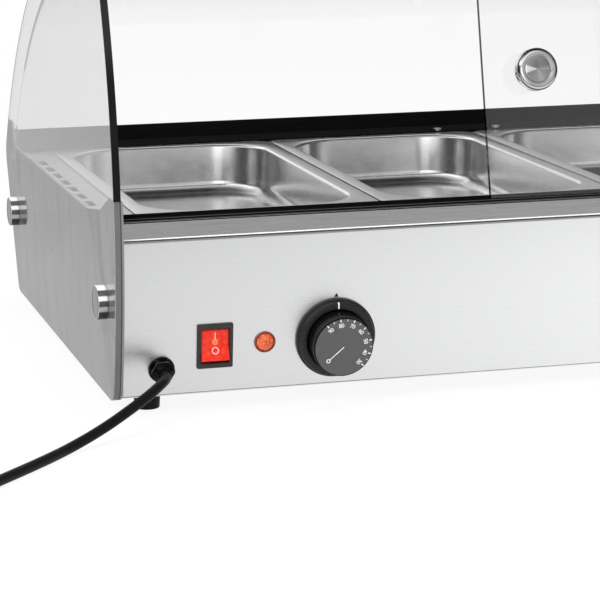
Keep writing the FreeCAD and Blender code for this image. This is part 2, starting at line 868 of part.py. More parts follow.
def rounded_path(points, fixed_radius=None):
    """Runs between points, each corner an arc as large as its two runs allow."""
    edges = []
    radii = []
    start = points[0]
    for index in range(1, len(points) - 1):
        corner = points[index]
        back = points[index - 1] - corner
        ahead = points[index + 1] - corner
        half_turn = (math.pi - back.getAngle(ahead)) / 2
        reach = BEND_SHARE * min(back.Length, ahead.Length)
        if fixed_radius:
            reach = min(reach, fixed_radius * math.tan(half_turn))
        radius = reach / math.tan(half_turn)
        radii.append(radius)
        before = corner + back * (reach / back.Length)
        after = corner + ahead * (reach / ahead.Length)
        inward = (before + after) * 0.5 - corner
        centre = corner + inward * ((radius / math.cos(half_turn)) / inward.Length)
        middle = centre + (corner - centre) * (radius / (corner - centre).Length)
        edges.append(Part.LineSegment(start, before).toShape())
        edges.append(Part.Arc(before, middle, after).toShape())
        start = after
    edges.append(Part.LineSegment(start, points[-1]).toShape())
    return Part.Wire(edges), radii


def tube_shape(points, radius, fixed_radius=None):
    path, radii = rounded_path(points, fixed_radius)
    ring = Part.Wire([Part.makeCircle(radius, points[0], points[1] - points[0])])
    solid = path.makePipeShell([ring], True, False)
    expected = math.pi * radius * radius * path.Length
    assert abs(solid.Volume / expected - 1) < 0.01, "a tube's volume isn't its section by its length"
    return solid, path.Length, radii


def feature(name, shape):
    thing = doc.addObject("Part::Feature", "feature")
    thing.Shape = shape
    return node(thing, name)


def value(name):
    """A driving size as it stands in the sheet."""
    return float(getattr(sheet, name))


# Heating elements: one hairpin under each pair of pans, with its clips and ends

element_turn_x = width / 2 - size.element_middle_gap


def hairpin(mirrored):
    far = number(element_far_y)
    near = number(element_near_y)
    level = number(element_z)
    bend = 30.0

    def at(x, y):
        return Vector(number(width) - x if mirrored else x, y, level)
    start_x = number(well_x) - value("sheet") - value("element_end_reach")
    turn_x = number(element_turn_x)
    points = [at(start_x, near), at(turn_x, near), at(turn_x, far), at(start_x, far)]
    return tube_shape(points, value("element_radius"), bend)[0]


feature("heating_element_left", hairpin(False))
feature("heating_element_right", hairpin(True))

CLIP = 12.0
clips = []
for share in (0.2, 0.8):
    for mirrored in (False, True):
        clip_x = share * element_turn_x + 20
        for leg_y in (element_near_y, element_far_y):
            x = width - clip_x - CLIP if mirrored else clip_x
            low = tub_floor
            block = box(x, leg_y - CLIP / 2, low, CLIP, CLIP, element_z - low)
            groove = rod(x - 1, leg_y, element_z, size.element_radius + PLAY, CLIP + 2, "x")
            clips.append(cut(block, groove))
node(group(*clips), "element_clips")

insulators = []
for leg_y in (element_near_y, element_far_y):
    for mirrored in (False, True):
        start = lengthwise(well_x - size.sheet - 8, 8.0, mirrored)
        collar = rod(start, leg_y, element_z, size.element_radius + 3, 8.0, "x")
        bore = rod(start - 1, leg_y, element_z, size.element_radius + 0.1, 10.0, "x")
        insulators.append(cut(collar, bore))
node(group(*insulators), "element_insulators")


# Pans

def pan(name, index):
    """One third-size pan with a flat rim, tapered walls and a rounded floor."""
    rim = size.pan_rim
    sheet_thick = size.pan_sheet
    left = size.side_margin + index * pan_pitch + size.pan_gap / 2

    def basin(inset, depth, corner, floor_round):
        long = size.pan_width - 2 * inset
        deep = size.pan_depth - 2 * inset
        body = padded("XY_Plane", [(inset, inset), (inset + long, inset),
                                   (inset + long, inset + deep), (inset, inset + deep)], depth)
        body.Tip.Reversed = True
        body.Tip.TaperAngle = -2.0
        doc.recompute()
        uprights = [edge for edge in body.Tip.Shape.Edges if len(edge.Vertexes) == 2
                    and abs(edge.Vertexes[0].Z - edge.Vertexes[1].Z) > 1.0]
        corners = {tuple(round(c, 3) for c in edge.CenterOfMass) for edge in uprights}
        rounded(body, lambda edge: tuple(round(c, 3) for c in edge.CenterOfMass) in corners, corner)
        bottom = min(vertex.Z for vertex in body.Tip.Shape.Vertexes)
        rounded(body, lambda edge: max(v.Z for v in edge.Vertexes) < bottom + 0.001, floor_round)
        return body

    outer = basin(rim - sheet_thick, size.pan_height, size.pan_corner + sheet_thick,
                  size.pan_floor_round + sheet_thick)
    inner = basin(rim, size.pan_height - sheet_thick, size.pan_corner, size.pan_floor_round)
    inner_top = put(inner, 0.0, 0.0, 0.0)
    plate = padded("XY_Plane", [(zero, zero), (size.pan_width, zero),
                                (size.pan_width, size.pan_depth), (zero, size.pan_depth)],
                   sheet_thick)
    plate.Tip.Reversed = True
    doc.recompute()
    rounded(plate, lambda edge: abs(edge.BoundBox.ZLength - number(sheet_thick)) < 1e-4,
            size.pan_rim_corner)
    blank = join(outer, plate)
    hollow = cut(blank, inner_top)
    return node(hollow, name, left, size.pan_near, rim_z + sheet_thick)


for index in range(int(SIZES["pan_count"])):
    pan("pan_%d" % (index + 1), index)


# Curved guard glass and the black channel that holds its foot

def guard_sector(inner, outer, across, up, top_y):
    """A band of the guard's curve, from its foot up to a given Y near its crown. The direction
    from the curve's centre to the foot is given by its shares across and up."""
    def foot(radius):
        return (size.crown_y + radius * across, size.crown_z + radius * up)

    def crown(radius):
        rise = root(radius * radius - (top_y - size.crown_y) * (top_y - size.crown_y))
        return (top_y, size.crown_z + rise)
    corners = [foot(inner), foot(outer), crown(outer), crown(inner)]
    arcs = {1: (size.crown_y, size.crown_z, outer), 3: (size.crown_y, size.crown_z, inner)}
    return corners, arcs


SLOT_TURN = 0.1
guard_inner = size.guard_radius - size.guard_glass
guard_top_y = beam_near_y + size.guard_top_inset
work_out("guard_across", guard_run / size.guard_radius)
work_out("guard_up", (guard_foot_z - size.crown_z) / size.guard_radius)
guard_corners, guard_arcs = guard_sector(guard_inner, size.guard_radius, size.guard_across,
                                         size.guard_up, guard_top_y)
guard = padded("YZ_Plane", guard_corners, deck_long, guard_arcs)
node(guard, "guard_glass", deck_end)

slot_cos = math.cos(math.radians(SLOT_TURN))
slot_sin = math.sin(math.radians(SLOT_TURN))
slot_corners, slot_arcs = guard_sector(guard_inner - size.slot_play,
                                       size.guard_radius + size.slot_play,
                                       size.guard_across * slot_cos + size.guard_up * slot_sin,
                                       size.guard_up * slot_cos - size.guard_across * slot_sin,
                                       guard_top_y - size.slot_play)
channel_blank = padded("YZ_Plane", [
    (channel_foot_y, size.deck_z),
    (channel_back_y, size.deck_z),
    (channel_back_y, size.deck_z + 5),
    (channel_back_y - 8, channel_top_z),
    (channel_face_y, channel_top_z),
    (channel_face_y, size.deck_z + size.channel_foot),
    (channel_foot_y, size.deck_z + size.channel_foot)], deck_long)
guard_slot = padded("YZ_Plane", slot_corners, width, slot_arcs)
put(guard_slot, -1.0, 0.0, 0.0)
channel_holes = [rod(x - deck_end, y, deck_under - 1, M4, 10.0) for x, y in channel_screws]
node(cut(channel_blank, guard_slot, *channel_holes), "guard_channel", deck_end)


def screw(x, y, z, radius, head_radius, head, long):
    """A pan-head screw whose head stands on z and whose shank points down."""
    return join(rod(x, y, z, head_radius, head), rod(x, y, z - long, radius, long))


screw_z = size.deck_z + size.channel_foot
case_screws = [screw(x, y, screw_z, M4, 3.5, 1.6, 8.0) for x, y in channel_screws]

# Door tracks

track_deep = 3 * size.track_rib + 2 * size.track_groove
lower_blank = join(
    box(deck_end, size.track_near_y, size.deck_z, deck_long, track_deep, size.track_height),
    box(deck_end, size.track_near_y - size.track_flange, size.deck_z, deck_long,
        size.track_flange + size.track_rib, size.track_flange_high))


def grooves(near_y, rib, z, high):
    step = rib + size.track_groove
    return [box(deck_end - 1, near_y + rib + index * step, z, deck_long + 2,
                size.track_groove, high) for index in (0, 1)]


node(cut(lower_blank, *grooves(size.track_near_y, size.track_rib,
                               size.deck_z + size.track_floor, size.track_height)),
     "lower_door_track")

door_flat = size.door_glass / cosine(size.door_lean)
inner_door_y = inner_groove_y - door_flat / 2
outer_door_y = inner_door_y - groove_pitch
upper_near_y = size.upper_centre - size.track_groove / 2 - groove_pitch - size.upper_rib
upper_x = size.side_glass + PLAY
upper_long = width - 2 * upper_x
upper_blank = box(upper_x, upper_near_y, size.upper_low_z, upper_long,
                  beam_near_y - upper_near_y, beam_top_z - size.upper_low_z)
chamber_z = size.upper_low_z + size.upper_groove + 2.5
chamber = box(upper_x - 1, upper_near_y + 2.5, chamber_z, upper_long + 2,
              beam_near_y - upper_near_y - 5, beam_top_z - chamber_z - 2.5)
node(cut(upper_blank, chamber, *grooves(upper_near_y, size.upper_rib, size.upper_low_z - 1,
                                        size.upper_groove + 1)), "upper_door_track")

# Top beam and cover

beam_blank = box(size.side_glass, beam_near_y, beam_low_z,
                 width - 2 * size.side_glass, size.beam_deep, size.beam_high)
beam_slot_low = size.crown_z + guard_inner - size.slot_play - 0.8
beam_slot = box(size.side_glass - 1, guard_top_y - 1, beam_slot_low, width, 60.0,
                size.guard_glass + 2 * size.slot_play + 0.8)
stud_bores = [rod(lengthwise(size.side_glass - 1, TOP_STUD_LONG + 2, mirrored),
                  fix_top_y, fix_top_z, stud_hole, TOP_STUD_LONG + 2, "x")
              for mirrored in (False, True)]
node(cut(beam_blank, beam_slot, *stud_bores), "top_beam")

COVER_LIP_NEAR = 16.0
COVER_LIP_FAR = 9.0
cover_near = upper_near_y - PLAY - size.cover_sheet
cover = padded("YZ_Plane", [
    (cover_near, beam_top_z - COVER_LIP_NEAR),
    (cover_near + size.cover_sheet, beam_top_z - COVER_LIP_NEAR),
    (cover_near + size.cover_sheet, beam_top_z),
    (beam_far_y, beam_top_z),
    (beam_far_y, beam_top_z - COVER_LIP_FAR),
    (beam_far_y + size.cover_sheet, beam_top_z - COVER_LIP_FAR),
    (beam_far_y + size.cover_sheet, beam_top_z + size.cover_sheet),
    (cover_near, beam_top_z + size.cover_sheet)], upper_long)
node(cover, "top_cover", upper_x)

# Doors, each a leaning pane with a turned knob, its screw and washer

SCREW_BORE = 2.75
KNOB_BORE = 12.0
KNOB_DISH = 1.5
KNOB_ROUND = 3.0
knob_screw_long = size.door_glass + KNOB_BORE - 2.0
door_width = (width - 2 * size.door_end_play + size.door_overlap) / 2


def door(side, x, y, knob_x):
    pane = box(0, 0, 0, door_width, size.door_glass, size.door_length)
    hole = rod(knob_x, size.door_glass + 1, size.knob_along, SCREW_BORE, size.door_glass + 2, "-y")
    node(cut(pane, hole), side + "_door_glass", x, y, door_base_z, -size.door_lean)

    head = size.knob_head_radius
    neck = size.knob_neck_radius
    end = size.knob_length
    dish = size.knob_dish_radius
    bore = M4 + 0.05 + zero
    knob = turned([(bore, zero), (neck, zero), (neck, size.knob_neck), (head, size.knob_neck + 1),
                   (head, end - KNOB_ROUND), (head - KNOB_ROUND, end), (dish + 0.5, end),
                   (dish, end - KNOB_DISH), (zero, end - KNOB_DISH), (zero, zero + KNOB_BORE),
                   (bore, zero + KNOB_BORE)],
                  {4: (head - KNOB_ROUND, end - KNOB_ROUND, KNOB_ROUND + zero)})
    knob_y = y + size.knob_along * sine(size.door_lean)
    knob_z = door_base_z + size.knob_along * cosine(size.door_lean)
    node(knob, side + "_door_knob", x + knob_x, knob_y, knob_z, 90.0 - size.door_lean)

    bolt = join(rod(0, 0, -size.door_glass - 3, 4.0, 2.0),
                rod(0, 0, -size.door_glass - 1.0, M4, knob_screw_long + 1.0))
    washer = cut(rod(0, 0, -size.door_glass - 1.0, 6.0, 1.0),
                 rod(0, 0, -size.door_glass - 2.0, M4, 3.0))
    node(group(bolt, washer), side + "_knob_screw", x + knob_x, knob_y, knob_z,
         90.0 - size.door_lean)


left_door_x = size.door_end_play + size.left_door_open
right_door_x = width - size.door_end_play - door_width
door("left", left_door_x, inner_door_y, size.knob_inset)
door("right", right_door_x, outer_door_y, door_width - size.knob_inset)

# Switch: housing with its bezel, rocker on two pivots, and the terminals

CAVITY = 7.8
bezel_width = switch_body_width + 2 * size.bezel_side_lip
bezel_height = switch_body_height + 2 * size.bezel_end_lip
bezel = box(-bezel_width / 2, -bezel_height / 2, 0.0, bezel_width, bezel_height, size.bezel_rise)
switch_body = box(-switch_body_width / 2, -switch_body_height / 2, -size.switch_body_depth,
                  switch_body_width, switch_body_height, size.switch_body_depth)
cavity = box(-half_cavity_x, -half_cavity_y, -CAVITY, 2 * half_cavity_x, 2 * half_cavity_y,
             CAVITY + size.bezel_rise + 1)
pivot_bore = rod(-switch_body_width, 0, -size.rocker_pivot,
                 size.pivot_radius + size.shaft_play, 2 * switch_body_width, "x")
face_node(cut(join(bezel, switch_body), cavity, pivot_bore), "switch_housing",
          size.switch_x, size.switch_up)

rocker_low = -2.0
rocker_high = 5.6
low_half = root(size.rocker_radius * size.rocker_radius - rocker_low * rocker_low)
high_half = root(size.rocker_radius * size.rocker_radius - rocker_high * rocker_high)
rocker_body = padded("YZ_Plane", [
    (-low_half, zero + rocker_low), (low_half, zero + rocker_low),
    (high_half, zero + rocker_high), (zero, zero + 3.8), (-high_half, zero + rocker_high)],
    size.rocker_width, {1: (zero, zero, size.rocker_radius), 4: (zero, zero, size.rocker_radius)})
put(rocker_body, -size.rocker_width / 2, 0.0, 0.0)
pivot_half = switch_body_width / 2 - 0.1
pivots = rod(-pivot_half, 0, 0, size.pivot_radius, 2 * pivot_half, "x")
face_node(join(rocker_body, pivots), "switch_rocker", size.switch_x, size.switch_up,
          -size.rocker_pivot, size.rocker_angle)

TAB = (0.8, 6.3, 8.0)
tabs = [box(x - TAB[0] / 2, y - TAB[1] / 2, -size.switch_body_depth - TAB[2], *TAB)
        for x in (-6.0, 6.0) for y in (-7.0, 7.0)]
face_node(group(*tabs), "switch_terminals", size.switch_x, size.switch_up)

# Pilot lamp: barrel with flange, lens and the clip behind the panel

LAMP_FLANGE = 1.0
lamp_radius = size.lamp_barrel + size.lamp_lip
lamp = turned([(zero, -size.lamp_depth), (size.lamp_barrel, -size.lamp_depth),
               (size.lamp_barrel, zero), (lamp_radius, zero),
               (lamp_radius, zero + LAMP_FLANGE), (zero, zero + LAMP_FLANGE)])
WING = (0.9, 3.0, 4.0)
wings = [box(x, -WING[1] / 2, -size.sheet - WING[2], WING[0], WING[1], WING[2])
         for x in (-size.lamp_barrel - WING[0] + 0.1, size.lamp_barrel - 0.1)]
face_node(join(lamp, *wings), "lamp_body", size.lamp_x, size.lamp_up)
lens_edge = lamp_radius - 0.3
lens = turned([(zero, zero + LAMP_FLANGE), (lens_edge, zero + LAMP_FLANGE),
               (lens_edge, zero + 2.2), (lens_edge * 0.6, zero + 3.0), (zero, zero + 3.3)])
face_node(lens, "lamp_lens", size.lamp_x, size.lamp_up)

# Thermostat: regulator, bezel ring, shaft and dial

BUSH = 2.5
regulator = join(
    box(-size.regulator_width / 2, -size.regulator_height / 2, -size.sheet - size.regulator_depth,
        size.regulator_width, size.regulator_height, size.regulator_depth),
    rod(0, 0, -size.sheet, REGULATOR_HOLE - PLAY, BUSH))
SHAFT_SEAT = 8.0
shaft_bore = rod(0, 0, -size.sheet - SHAFT_SEAT, size.shaft_radius + size.shaft_play,
                 SHAFT_SEAT + BUSH + 1)
tapped = [rod(x, 0, -size.sheet - 6.0, M4, 7.0)
          for x in (-SCREW_HALF_PITCH, SCREW_HALF_PITCH)]
face_node(cut(regulator, shaft_bore, *tapped), "thermostat_body", size.dial_x, size.dial_up)

FLANGE_THICK = 2.5
bezel_inner = size.dial_radius + size.dial_gap
bezel_outer = bezel_inner + size.bezel_ring
ring = turned([(bezel_inner, zero), (bezel_outer + size.bezel_flange, zero),
               (bezel_outer + size.bezel_flange, zero + FLANGE_THICK - 0.6),
               (bezel_outer + size.bezel_flange - 0.6, zero + FLANGE_THICK),
               (bezel_outer, zero + FLANGE_THICK),
               (bezel_outer, size.bezel_thick - 1.5),
               (bezel_outer - 1.5, size.bezel_thick - 0.2),
               (bezel_inner, size.bezel_thick)])
web = cut(rod(0, 0, 0, bezel_inner + 0.2, 1.2), rod(0, 0, -1, REGULATOR_HOLE + PLAY, 4.0),
          *[rod(x, 0, -1.0, M4 + PLAY, 4.0) for x in (-SCREW_HALF_PITCH, SCREW_HALF_PITCH)])
face_node(join(ring, web), "thermostat_bezel", size.dial_x, size.dial_up)

for x in (-SCREW_HALF_PITCH, SCREW_HALF_PITCH):
    dial_screw = join(rod(0, 0, 1.2, 3.6, 2.0), rod(0, 0, -size.sheet - 5.5, M4, 8.0))
    case_screws.append(face_place(dial_screw, size.dial_x + x, size.dial_up))

SHAFT_LONG = 24.0
shaft_start = 0.3 - size.sheet - SHAFT_SEAT
shaft = rod(0, 0, 0, size.shaft_radius, SHAFT_LONG)
face_node(shaft, "thermostat_shaft", size.dial_x, size.dial_up, shaft_start)

shaft_end = shaft_start + SHAFT_LONG
dial_edge = size.dial_radius
hub_bore = size.shaft_radius
dial = turned([(hub_bore, size.dial_back + 1), (hub_bore + 4, size.dial_back + 1),
               (hub_bore + 4, size.dial_front - 5), (dial_edge - 2.5, size.dial_front - 5),
               (dial_edge - 2, size.dial_back), (dial_edge, size.dial_back),
               (dial_edge, size.dial_front - 0.8), (dial_edge - 0.8, size.dial_front),
               (zero, size.dial_front), (zero, shaft_end), (hub_bore, shaft_end)])
face_node(dial, "thermostat_dial", size.dial_x, size.dial_up)

# Cable gland: body, cap nut and lock nut

GLAND_NUT = 4.0
GLAND_COLLAR = 1.2
gland_half_flats = gland_thread + size.gland_shoulder
hex_radius = 2 * gland_half_flats / math.sqrt(3)
cord_bore = size.cord_radius + 0.1
gland_body = cut(join(hexagon(hex_radius, size.gland_body),
                      rod(0, 0, -8.0, gland_thread, 8.0)),
                 rod(0, 0, -9.0, cord_bore, 20.0))
face_node(gland_body, "gland_body", size.gland_x, size.gland_up)
collar_z = size.gland_body + GLAND_NUT
nut_blank = join(hexagon(hex_radius - 0.6, GLAND_NUT, size.gland_body),
                 rod(0, 0, collar_z, gland_half_flats - 1, GLAND_COLLAR))
dome = doc.addObject("Part::Cone", "dome")
bind(dome, "Radius1", gland_half_flats - 1)
bind(dome, "Radius2", size.cord_radius + 1.6)
bind(dome, "Height", size.gland_length - collar_z - GLAND_COLLAR)
put(dome, 0, 0, collar_z + GLAND_COLLAR)
cap_nut = cut(join(nut_blank, dome), rod(0, 0, 0, cord_bore, 20.0))
lock_nut = cut(hexagon(hex_radius + 1.2, 4.0, -size.sheet - 4.0),
               rod(0, 0, -10.0, gland_thread, 20.0))
face_node(group(cap_nut, lock_nut), "gland_nuts", size.gland_x, size.gland_up)


# Feet and their screws

FOOT_HEAD = 8.0
FOOT_RECESS = 4.6
feet = []
for x, y in FOOT_PLACES:
    head_z = FOOT_HEAD - size.foot_height
    foot = turned([(M4 + zero, head_z), (FOOT_RECESS + zero, head_z),
                   (FOOT_RECESS + zero, -size.foot_height),
                   (size.foot_low_radius - 1, -size.foot_height),
                   (size.foot_low_radius, 1 - size.foot_height), (size.foot_radius, size.sheet),
                   (M4 + zero, size.sheet)])
    feet.append(put(foot, x, y, 0.0))
node(group(*feet), "feet")


def foot_screw(x, y):
    head_low = FOOT_HEAD - size.foot_height
    bolt = join(rod(x, y, head_low - 2.4, 4.0, 2.4), rod(x, y, head_low, M4, size.foot_height - 2))
    nut = doc.addObject("Part::Prism", "nut")
    nut.Polygon = 6
    nut.Circumradius = 4.04
    nut.Height = 3.2
    put(nut, x, y, 2 * size.sheet)
    return [bolt, cut(nut, rod(x, y, 0.0, M4, 8.0))]


for x, y in FOOT_PLACES:
    case_screws += foot_screw(x, y)
for x, y in edge_screws:
    case_screws.append(join(sunk_cone(x, y), rod(x, y, SINK_DEEP / 2, M4, 5.0)))
node(group(*case_screws), "case_screws")


# Inside the housing: terminal block, safety cut-out, sensor and wires

floor_z = 2 * size.sheet
BLOCK = (30.0, 18.0, 16.0)
block_x = size.gland_x + 20
BLOCK_Y = 70.0
block = cut(box(block_x, BLOCK_Y, floor_z, *BLOCK),
            *[rod(block_x + 5 + 10 * index, BLOCK_Y + BLOCK[1] + 1, floor_z + 9, 2.2,
                  BLOCK[1] + 2, "-y") for index in range(3)])
node(block, "terminal_block")
CUTOUT = (20.0, 20.0, 9.0)
limiter_x = size.dial_x + 60
limiter_y = well_y + 107.0
limiter_z = tub_floor_z - CUTOUT[2]
limiter = join(box(limiter_x, limiter_y, limiter_z, *CUTOUT),
               box(limiter_x + 4, limiter_y + 3, limiter_z - 7, 0.8, 6.3, 7.0),
               box(limiter_x + 15, limiter_y + 3, limiter_z - 7, 0.8, 6.3, 7.0))
node(limiter, "safety_cutout")


def face_point(x, up, out):
    """A point of the tilted panel's own frame, in cabinet coordinates."""
    tilt = math.radians(value("panel_tilt"))
    return Vector(x, value("panel_foot_y") - up * math.sin(tilt) - out * math.cos(tilt),
                  up * math.cos(tilt) - out * math.sin(tilt))


def sensor():
    """The thermostat's bulb on the tub floor, with its capillary down to the regulator."""
    radius = 3.0
    level = number(tub_floor) + radius + 0.2
    x = number(capillary_x)
    y = number(capillary_y)
    bulb = Part.makeCylinder(radius, 80.0, Vector(x + 25, y, level), Vector(1, 0, 0))
    side_out = face_point(value("dial_x") + value("regulator_width") / 2 + 0.6,
                          value("dial_up"), -value("sheet") - 20)
    points = [side_out, side_out + Vector(8, 4, 0), Vector(x, y - 12, side_out.z + 4),
              Vector(x, y, side_out.z + 16), Vector(x, y, level - 3),
              Vector(x + 6, y, level), Vector(x + 25, y, level)]
    return bulb.fuse(tube_shape(points, 0.75)[0])


feature("thermostat_sensor", sensor())

WIRE = 1.1
WIRE_GAP = 0.3


def wires():
    """Insulated leads between the block, the switch, the thermostat, the lamp and the ends."""
    block_front = Vector(number(block_x), BLOCK_Y - 0.3, number(floor_z) + 9)
    tab_end = -value("switch_body_depth") - TAB[2] - WIRE_GAP
    regulator_end = -value("sheet") - value("regulator_depth") - WIRE_GAP
    lamp_end = -value("lamp_depth") - WIRE_GAP
    switch_x, lamp_x, dial_x = value("switch_x"), value("lamp_x"), value("dial_x")
    switch_up, lamp_up, dial_up = value("switch_up"), value("lamp_up"), value("dial_up")
    leads = []
    for index, side in enumerate((-6.0, 6.0)):
        start = face_point(switch_x + side, switch_up - 7, tab_end)
        end = block_front + Vector(5 + 10 * index, 0.0, 0.0)
        leads.append([start, start + Vector(0, 8, 0), end + Vector(0, -10, 0), end])
        start = face_point(switch_x + side, switch_up + 7, tab_end)
        end = face_point(dial_x - 10 + 6 * index, dial_up + 8 - 14 * index, regulator_end)
        far = Vector(0, 11 + 4 * index, 0)
        leads.append([start, start + far, end + far + Vector(-8, 0, 0),
                      end + Vector(0, 6, 0), end])
        start = face_point(lamp_x + side / 2, lamp_up, lamp_end)
        end = face_point(dial_x + 6 + 5 * index, dial_up - 6 + 15 * index, regulator_end)
        far = Vector(0, 22 + 5 * index, 2)
        leads.append([start, start + far, end + far, end])
    return [tube_shape(points, WIRE)[0] for points in leads]


# The mains lead inside the gland, from its outer end to the terminal block

gland_end = face_point(value("gland_x"), value("gland_up"), value("gland_length"))
gland_in = face_point(value("gland_x"), value("gland_up"), -20.0)
block_back = Vector(number(block_x) - 0.3, BLOCK_Y + 10, number(floor_z) + 9)
inner_points = [gland_end, gland_in, Vector(gland_in.x, gland_in.y + 26, gland_in.z - 6),
                Vector(gland_in.x + 6, block_back.y, block_back.z), block_back]
inner_lead = tube_shape(inner_points, value("cord_radius"))[0]
feature("internal_wires", Part.makeCompound([inner_lead] + wires()))

# The free cord: a lead across the floor, a coil and a short tail to the plug

cord_r = value("cord_radius")
floor_level = -value("foot_height") + cord_r
coil_pitch = 2 * cord_r + value("coil_layer_gap")
coil_low = floor_level + value("coil_lift")
spread = COIL_TURNS_PER_LAYER * coil_pitch
outer_radius = value("coil_mean_radius") + spread / 2
inner_radius = value("coil_mean_radius") - spread / 2
total_turns = 2 * COIL_TURNS_PER_LAYER + COIL_CLIMB_TURNS


def coil_point(turns):
    """Centre line of the coil after so many turns: in, up a layer, and out again."""
    if turns < COIL_TURNS_PER_LAYER:
        radius = outer_radius - coil_pitch * turns
        level = coil_low
    elif turns > COIL_TURNS_PER_LAYER + COIL_CLIMB_TURNS:
        radius = inner_radius + coil_pitch * (turns - COIL_TURNS_PER_LAYER - COIL_CLIMB_TURNS)
        level = coil_low + coil_pitch
    else:
        share = (turns - COIL_TURNS_PER_LAYER) / COIL_CLIMB_TURNS
        dip = coil_pitch * COIL_CLIMB_TURNS * share * (1 - share)
        radius = inner_radius - dip
        level = coil_low + coil_pitch * share * share * (3 - 2 * share)
    angle = math.radians(COIL_START_ANGLE - 360.0 * turns)
    return Vector(COIL_CENTRE[0] + radius * math.cos(angle),
                  COIL_CENTRE[1] + radius * math.sin(angle), level)


def coil_heading(turns):
    step = 1e-4
    low = max(turns - step, 0.0)
    high = min(turns + step, total_turns)
    return (coil_point(high) - coil_point(low)).normalize()


def biarc(start, start_heading, end, end_heading):
    """Two arcs that meet and leave both ends along their headings."""
    chord = end - start
    both = start_heading + end_heading
    flat = 2 * (1 - start_heading.dot(end_heading))
    reach_b = chord.dot(both)
    if abs(flat) < 1e-9:
        reach = chord.dot(chord) / (2 * reach_b)
    else:
        reach = (-reach_b + math.sqrt(reach_b ** 2 + flat * chord.dot(chord))) / flat
    joint = (start + start_heading * reach + end - end_heading * reach) * 0.5
    return [arc_from(start, start_heading, joint), arc_from(end, -end_heading, joint)]


def arc_from(start, heading, end):
    """The arc that leaves start along its heading and reaches end."""
    chord = end - start
    across = chord - heading * chord.dot(heading)
    if across.Length < 1e-7:
        return Part.LineSegment(start, end).toShape()
    across.normalize()
    radius = chord.dot(chord) / (2 * chord.dot(across))
    centre = start + across * radius
    middle = (start + end) * 0.5 - centre
    middle = centre + middle * (radius / middle.Length)
    return Part.Arc(start, middle, end).toShape()


def coil_wire():
    quarters = int(round(total_turns * 4))
    edges = []
    for index in range(quarters):
        low, high = index / 4.0, (index + 1) / 4.0
        edges += biarc(coil_point(low), coil_heading(low), coil_point(high), coil_heading(high))
    return Part.Wire(Part.sortEdges(edges)[0])


def least_gap():
    """Least distance between strands of the coil, measured on points of its centre line."""
    steps = 96
    points = [coil_point(index / steps) for index in range(int(total_turns * steps) + 1)]
    least = min((a - b).Length for i, a in enumerate(points) for b in points[i + steps // 2:])
    return least - 2 * cord_r


coil_path = coil_wire()
coil_ring = Part.Wire([Part.makeCircle(cord_r, coil_point(0.0), coil_heading(0.0))])
coil_solid = coil_path.makePipeShell([coil_ring], True, False)
feature("cord_coil", coil_solid)
print("coil length", round(coil_path.Length, 1), "least gap", round(least_gap(), 2),
      "volume share", round(coil_solid.Volume / (math.pi * cord_r ** 2 * coil_path.Length), 4))

coil_in = coil_point(0.0)
heading_in = coil_heading(0.0)
lead_points = [gland_end,
               face_point(value("gland_x"), value("gland_up"), value("gland_length") + 3.4),
               Vector(34.4, -15.7, 17.2), Vector(28.1, -27.8, 16.8), Vector(17.7, -36.9, 12.2),
               Vector(3.0, -46.1, 5.8), Vector(-17.2, -57.3, -2.6),
               Vector(-42.2, -73.4, floor_level), Vector(-65.8, -101.1, floor_level),
               Vector(-90.6, -127.7, floor_level),
               coil_in - heading_in * 26.0, coil_in - heading_in * 0.001]
lead_solid, lead_long, lead_radii = tube_shape(lead_points, cord_r)
feature("cord_lead", lead_solid)
print("lead length", round(lead_long, 1), "radii", [round(item) for item in lead_radii])

coil_out = coil_point(total_turns)
heading_out = coil_heading(total_turns)
PLUG_TILT = 14.0
PLUG_LONG = 46.0
PLUG_SHOULDER = 32.0
PLUG_RADIUS = 18.5
plug_heading = Vector(-1.0, -0.12, 0.0).normalize()
plug_tail = Vector(-214.0, -222.0, 0.0)
plug_tail.z = -value("foot_height") + PLUG_RADIUS * math.cos(math.radians(PLUG_TILT)) \
    - PLUG_SHOULDER * math.sin(math.radians(PLUG_TILT))
rise = math.tan(math.radians(PLUG_TILT))
plug_axis = Vector(plug_heading.x, plug_heading.y, rise).normalize()
tail_points = [coil_out, coil_out + heading_out * 24.0 + Vector(0, 0, -1.5),
               Vector(-168.0, -212.0, -6.0),
               plug_tail - plug_heading * 22.0 + Vector(0, 0, -2.5),
               plug_tail - plug_axis * 9.0,
               plug_tail]
tail_solid, tail_long, tail_radii = tube_shape(tail_points, cord_r)
feature("cord_tail", tail_solid)
print("tail length", round(tail_long, 1), "radii", [round(item) for item in tail_radii])
print("whole cord", round(lead_long + coil_path.Length + tail_long, 1))


def plug_place(thing, name):
    """Lay the plug on the floor, resting on the shoulder of its round front."""
    rotation = FreeCAD.Rotation(Vector(0, 0, 1), plug_axis)
    node(thing, name, plug_tail.x, plug_tail.y, plug_tail.z)
    thing.Placement = FreeCAD.Placement(thing.Placement.Base, rotation)
    return thing


plug = turned([(zero, zero), (zero + 6.0, zero), (zero + 7.5, zero + 14), (zero + 15.0, zero + 24),
               (zero + PLUG_RADIUS, zero + PLUG_SHOULDER),
               (zero + PLUG_RADIUS, zero + PLUG_LONG),
               (zero, zero + PLUG_LONG)])
plug_place(plug, "plug_body")
pins = [rod(x, 0, PLUG_LONG, 2.4, 19.0) for x in (-9.5, 9.5)]
plug_place(group(*pins), "plug_pins")
cord_nodes += ["cord_lead", "cord_coil", "cord_tail", "plug_body", "plug_pins"]


# The part's origin is the middle of the object's base, so the sheet gets the middle of its depth

doc.recompute()
object_names = [name for name in nodes if name not in cord_nodes]
low_y = min(nodes[name].Shape.BoundBox.YMin for name in object_names)
high_y = max(nodes[name].Shape.BoundBox.YMax for name in object_names)
sheet.set("B%d" % middle_row, repr((low_y + high_y) / 2))
doc.recompute()

